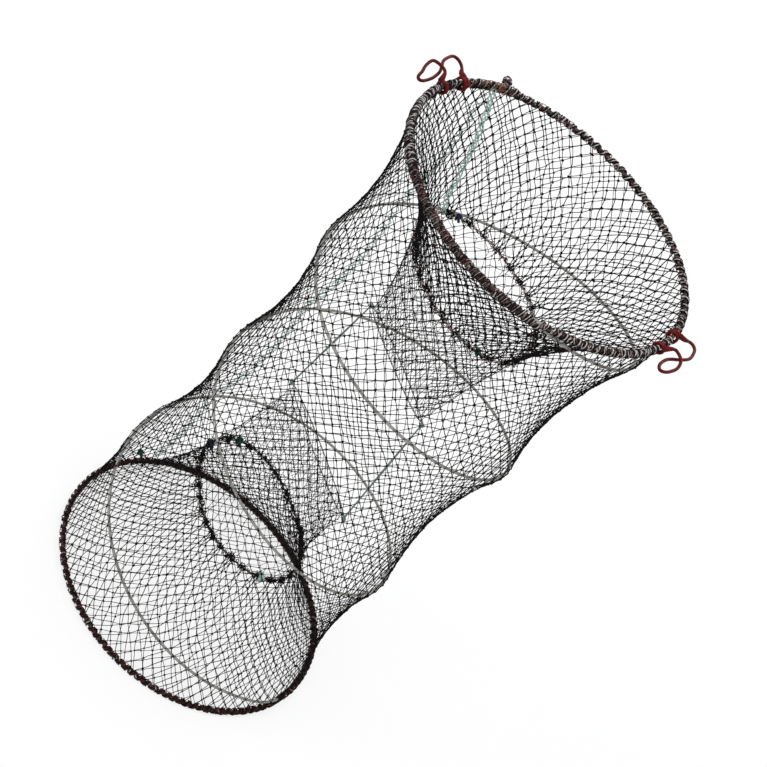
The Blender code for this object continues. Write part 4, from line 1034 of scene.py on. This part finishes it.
def add_seams(body_grid, top_grid, spring):
    """Pale green thread laced through the edges of the body net and of the top funnel."""
    share = (SEAM_AZIMUTH - NET_PHASE) / TAU
    rng = np.random.default_rng(71)
    out = np.array((math.cos(SEAM_AZIMUTH), math.sin(SEAM_AZIMUTH), 0))
    along = np.array((-out[1], out[0], 0))
    line = body_grid[:, round(share * body_grid.shape[1])]
    batches = []
    for way in (1, -1):
        points = []
        for row in range(BODY_ROWS + 1):
            side = way * (1 if row % 2 else -1)
            points.append(line[row] + out * 0.0009 + along * (side * 0.0042 + rng.normal(0, 0.0004)))
        batches.append(sweep(smooth_route(np.array(points)[1:-1], 0.0035), 0.0005, 5))
    add_piece("body_seam_thread", batches, FINISHES["pale_green"], "bottom_end",
              ["body_seam_lacing"], True)
    line = smooth_route(top_grid[:, round(share * top_grid.shape[1])], 0.004)
    run = np.concatenate([[0], np.cumsum(np.linalg.norm(np.diff(line, axis=0), axis=1))])
    at = np.linspace(0, run[-1], 150)
    middle = np.stack([np.interp(at, run, line[:, k]) for k in range(3)], -1)
    rise = math.radians(26.5)
    inwards = np.array((-out[0] * math.cos(rise), -out[1] * math.cos(rise), math.sin(rise)))
    batches = []
    for k in range(3):
        sway = 0.0028 * np.sin(TAU * at / 0.017 + k * TAU / 3) + 0.0003 * rng.normal(size=1)
        lift = 0.0011 + 0.0006 * np.cos(2 * TAU * at / 0.017 + k * 2.1)
        lean = 0.0055 * smoothstep(at / run[-1])
        batches.append(sweep(middle + along * (sway + lean)[:, None] + inwards * lift[:, None], 0.0006, 6, lobes=2,
                             depth=0.1, lay=0.003))
    add_piece("top_funnel_seam_thread", batches, FINISHES["pale_green"], "bottom_end",
              ["top_funnel_seam_lacing"], True)


def add_top_details(ring):
    """The ball of knotted twine outside the top ring, and the orange lashing beside it."""
    azimuth = math.radians(146.25)
    centre = polar(RING_RADIUS + 0.0049 + 0.0003 + 0.005, azimuth, TOP_Z + 0.0009)
    for finish, radius, windings, replaced in (("grey_highlight", 0.0058, (3, 4), "top_whipping_knot"),
                                               ("black", 0.0060, (2, 5), None), ("maroon", 0.0059, (3, 2), None)):
        add_knot(f"top_twine_knot_{finish}", centre, radius, (0.3, 1.0, 0.5), finish, "top_end",
                 replaced, 0.0, 5, windings=windings, bulk=0.20)
    batches = []
    for first, last, turns, slack in ((149.3, 150.5, 1.7, 0.0), (151.0, 152.4, 2.2, 0.0002), (153.6, 154.2, 1.2, 0.0001),
                                      (156.2, 156.8, 1.2, 0.0), (158.6, 159.1, 1.1, 0.0001)):
        t = np.linspace(0, 1, int(turns * 18))
        a = np.radians(first + (last - first) * t)
        angle = 0.9 + TAU * turns * t
        batches.append(sweep(ring.section(a, angle, 0.0030 + slack), 0.00045, 7, lobes=3, depth=0.1, lay=0.004))
    t = np.linspace(0, 1, 14)
    tail = ring.section(np.radians(150.2 - 3.6 * t), 2.6 + 1.1 * t, 0.0031 + 0.0012 * t)
    batches.append(sweep(tail, 0.00045, 7))
    add_piece("top_lashing_twine", batches, FINISHES["orange"], "top_end", ["top_ring_lashing"])


def add_rim_knots():
    for name, rim, height, degrees, finish, slot, body in (
            ("top_rim_blue_knot", TOP_RIM, TOP_Z - TOP_RIM_DEPTH, 142, "blue", "blue_cord", "top_throat"),
            ("top_rim_green_knot", TOP_RIM, TOP_Z - TOP_RIM_DEPTH, -46, "dark_green", "dark_green_cord", "top_throat"),
            ("bottom_rim_blue_knot", BOTTOM_RIM, BOTTOM_Z + BOTTOM_RIM_DEPTH, 166, "blue", "blue_cord",
             "bottom_throat"),
            ("bottom_rim_green_knot", BOTTOM_RIM, BOTTOM_Z + BOTTOM_RIM_DEPTH, 142, "dark_green", "dark_green_cord",
             "bottom_throat"),
            ("bottom_rim_teal_knot", BOTTOM_RIM, BOTTOM_Z + BOTTOM_RIM_DEPTH, -34, "pale_green", "pale_green_thread",
             "bottom_throat")):
        low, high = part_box(name)
        centre = (np.array(low) + np.array(high)) / 2
        azimuth = math.radians(degrees)
        along = (-math.sin(azimuth), math.cos(azimuth), 0.1)
        radius = 0.0040 if name.startswith("top") else 0.0052
        add_knot(f"{name}_tied", centre, radius, along, finish, body, name, radius / 2, int(abs(degrees)))
    azimuth = math.radians(160)
    centre = polar(RING_RADIUS + 0.0087 * math.cos(math.radians(30)), azimuth,
                   BOTTOM_Z + 0.0087 * math.sin(math.radians(30)))
    add_knot("bottom_seam_knot_tied", centre, 0.0038, (-math.sin(azimuth), math.cos(azimuth), 0.3), "dark_green",
             "bottom_end", "bottom_seam_knot", 0.006, 9)


# Clips

def add_clip(side, azimuth, loops, way, ring):
    """One wire: wraps of the first foot close round the winding, the two crossing loops, the second foot."""
    share = np.linspace(0, 1, 60)
    inner_edge = CLIP_FOOT_OFFSET - CLIP_WRAP_WIDTH / 2
    middle, spread = ring.core(np.array([azimuth]))
    distance = float(abs(middle[0]) + spread[0]) + WIRE_RADIUS + INNER_LAYER + CLIP_WIRE / 2 + 0.00005

    def foot(share, sign):
        """Round wraps about the hinge, so that the clip turns without cutting into the wires."""
        along = sign * (inner_edge + CLIP_WRAP_WIDTH * share)
        angle = CLIP_LEAVE_ANGLE + CLIP_WRAP_TURNS * TAU * (1 - share)
        reach = distance + 0.0006 * smoothstep((share - 0.55) / 0.45)
        return np.stack([reach * np.cos(angle), way * along, reach * np.sin(angle)], -1) @ turn.T + np.array(hinge)

    hinge = (CLIP_HINGE[0] if side == "right" else -CLIP_HINGE[0], CLIP_HINGE[1], TOP_Z)
    turn = np.array([[math.cos(azimuth), -math.sin(azimuth), 0], [math.sin(azimuth), math.cos(azimuth), 0],
                     [0, 0, 1]])
    bends = np.array([(out, way * along, up) for along, out, up in loops]) @ turn.T + np.array(hinge)
    first, second = foot(share, 1), foot(share, -1)[::-1]
    middle = smooth_route([first[-1], *bends, second[0]], 0.0012)
    route = np.array([*first[:-1], *middle, *second[1:]])
    ends = np.minimum(np.arange(len(route)), np.arange(len(route))[::-1])
    radius = CLIP_WIRE / 2 * (0.55 + 0.45 * smoothstep(ends / 3.0))
    batches = [sweep(route, radius, 14)]
    for stem in (middle, middle[::-1]):
        run = np.concatenate([[0], np.cumsum(np.linalg.norm(np.diff(stem, axis=0), axis=1))])
        at = np.linspace(0, CLIP_CONE, 34)
        part = np.stack([np.interp(at, run, stem[:, k]) for k in range(3)], -1)
        batches.append(sweep(part, CLIP_WIRE / 2 * (1.06 + 0.75 * (1 - at / CLIP_CONE)), 12, lobes=1, depth=0.13,
                             lay=0.0022))
    add_piece(f"{side}_clip_wire", batches, FINISHES["coating"], f"{side}_clip", [f"{side}_clip"])


# Floor and light

def add_stage():
    mesh = bpy.data.meshes.new("floor")
    mesh.from_pydata([(-9, -9, 0), (9, -9, 0), (9, 9, 0), (-9, 9, 0)], [], [(0, 1, 2, 3)])
    floor = bpy.data.objects.new("floor", mesh)
    bpy.context.scene.collection.objects.link(floor)
    made = Finish("floor")
    made.sockets(Base_Color=(0.30, 0.30, 0.30), Roughness=0.9, Specular_IOR_Level=0.05)
    path = made.node("ShaderNodeLightPath").outputs
    seen = made.math("MAXIMUM", path["Is Camera Ray"],
                     made.math("MAXIMUM", path["Is Glossy Ray"], path["Is Transmission Ray"]))
    glow = made.node("ShaderNodeEmission", None, Color=(1.0, 1.0, 1.0, 1.0), Strength=made.math("MULTIPLY", seen, FLOOR_GLOW))
    both = made.node("ShaderNodeAddShader", None, _0=made.shader.outputs[0], _1=glow.outputs[0])
    made.tree.links.new(both.outputs[0], made.tree.nodes["Material Output"].inputs["Surface"])
    mesh.materials.append(made.material)
    world = bpy.data.worlds.new("studio")
    bpy.context.scene.world = world
    world.use_nodes = True
    tree = world.node_tree
    back = tree.nodes["Background"]
    back.inputs["Color"].default_value = (0.97, 0.98, 1.0, 1)
    back.inputs["Strength"].default_value = 0.52
    white = tree.nodes.new("ShaderNodeBackground")
    white.inputs["Color"].default_value = (1, 1, 1, 1)
    white.inputs["Strength"].default_value = 1.0
    rays = tree.nodes.new("ShaderNodeLightPath").outputs
    glossy = tree.nodes.new("ShaderNodeMath")
    glossy.operation = "MAXIMUM"
    tree.links.new(rays["Is Glossy Ray"], glossy.inputs[0])
    tree.links.new(rays["Is Transmission Ray"], glossy.inputs[1])
    seen = tree.nodes.new("ShaderNodeMath")
    seen.operation = "MAXIMUM"
    tree.links.new(rays["Is Camera Ray"], seen.inputs[0])
    tree.links.new(glossy.outputs[0], seen.inputs[1])
    mixed = tree.nodes.new("ShaderNodeMixShader")
    tree.links.new(seen.outputs[0], mixed.inputs[0])
    tree.links.new(back.outputs[0], mixed.inputs[1])
    tree.links.new(white.outputs[0], mixed.inputs[2])
    tree.links.new(mixed.outputs[0], tree.nodes["World Output"].inputs["Surface"])
    for name, place, size, power in (("key", (-1.6, -1.4, 2.4), 1.4, 26), ("fill", (1.8, -1.2, 1.5), 1.8, 9),
                                     ("back", (-0.6, 2.0, 2.2), 1.4, 14)):
        data = bpy.data.lights.new(name, "AREA")
        data.shape = "DISK"
        data.size = size
        data.energy = power
        lamp = bpy.data.objects.new(name, data)
        bpy.context.scene.collection.objects.link(lamp)
        lamp.location = place
        aim = Vector((0, 0, 0.3)) - lamp.location
        lamp.rotation_euler = aim.to_track_quat("-Z", "Y").to_euler()


add_camera()
for side, corner in (("left", 0), ("right", 1)):
    add_guy(side, corner)
RINGS = {"top": Ring("top", "top_end", TOP_Z, SPRING_START, -1, 3),
         "bottom": Ring("bottom", "bottom_end", BOTTOM_Z, SPRING_END, 1, 4)}
SPRING = spring_route()
add_piece("spring_wire", sweep(SPRING, DRAWN_WIRE_RADIUS, 12), FINISHES["steel"], "bottom_end",
          ["spring_coil"], True)
random = np.random.default_rng(20)
body = pushed_off(body_net_grid(RINGS, random), SPRING, WIRE_RADIUS + THREAD_RADIUS + 0.0001)
add_net("body", body, random, "body_net")
top_funnel = funnel_grid(RINGS["top"], TOP_RIM, TOP_RIM_DEPTH, -1, random)
add_net("top_funnel", top_funnel, random, "top_funnel_net", 0.00043)
add_net("bottom_funnel", funnel_grid(RINGS["bottom"], BOTTOM_RIM, BOTTOM_RIM_DEPTH, 1, random), random,
        "bottom_funnel_net", 0.00037)
for name, rim, slit, rim_z, slit_z in (
        ("top", TOP_RIM, TOP_SLIT, TOP_Z - TOP_RIM_DEPTH, BOTTOM_Z + TOP_SLIT_HEIGHT),
        ("bottom", BOTTOM_RIM, BOTTOM_SLIT, BOTTOM_Z + BOTTOM_RIM_DEPTH, BOTTOM_Z + BOTTOM_SLIT_HEIGHT)):
    sock = sock_grid(rim, slit, rim_z, slit_z, random)
    add_net(f"{name}_sock", sock, random, f"{name}_throat_sock", SOCK_THREAD_RADIUS)
    add_slit_edge(name, sock)
for ring in RINGS.values():
    ring.wires()
RINGS["top"].inner_layer("inner")
# The pale grey strand between the black ones is a painted highlight on the dark twine
RINGS["top"].winding(TOP_WINDING, (("black", 1.2), ("grey_highlight", 0.95), ("black", 1.2), ("mottled", 0.9)),
                     ("brown", 0.5, 2.1))
# The pale grey curls are painted highlights on the dark twine
RINGS["top"].curls(TOP_WINDING, (("black", 360, 0.00052, 0, 360), ("grey_highlight", 130, 0.0004, 0, 360),
                                 ("mottled", 90, 0.00045, 0, 360), ("black", 190, 0.00040, 236, 294),
                                 ("maroon", 70, 0.00040, 236, 294), ("rose", 34, 0.00034, 236, 294)))
RINGS["top"].strokes(TOP_WINDING, HIGHLIGHT_STROKES)
RINGS["bottom"].inner_layer("inner_dark")
RINGS["bottom"].winding(BOTTOM_WINDING, (("black", 1.1), ("maroon", 0.95), ("black", 1.0), ("brown", 0.7)),
                        ("mottled", 0.45, 2.1))
# The pale grey curls are painted highlights on the dark twine
RINGS["bottom"].curls(BOTTOM_WINDING, (("black", 420, 0.00055, 0, 360), ("grey_highlight", 110, 0.00034, 0, 360),
                                       ("maroon", 160, 0.00048, 0, 360), ("brown", 90, 0.00034, 60, 155)))
add_rim("top", TOP_RIM, TOP_Z - TOP_RIM_DEPTH, "top_throat", 31, ("pink", "brown"), 430, 0.00036, 0.0034)
add_rim("bottom", BOTTOM_RIM, BOTTOM_Z + BOTTOM_RIM_DEPTH, "bottom_throat", 32, ("brown", "black"), 620, 0.00038,
        0.0036)
add_seams(body, top_funnel, SPRING)
add_top_details(RINGS["top"])
add_rim_knots()
add_clip("right", CLIP_AZIMUTH, RIGHT_CLIP_LOOPS, 1, RINGS["top"])
add_clip("left", math.pi - CLIP_AZIMUTH, LEFT_CLIP_LOOPS, -1, RINGS["top"])
add_stage()
bpy.context.scene.view_settings.view_transform = "Standard"
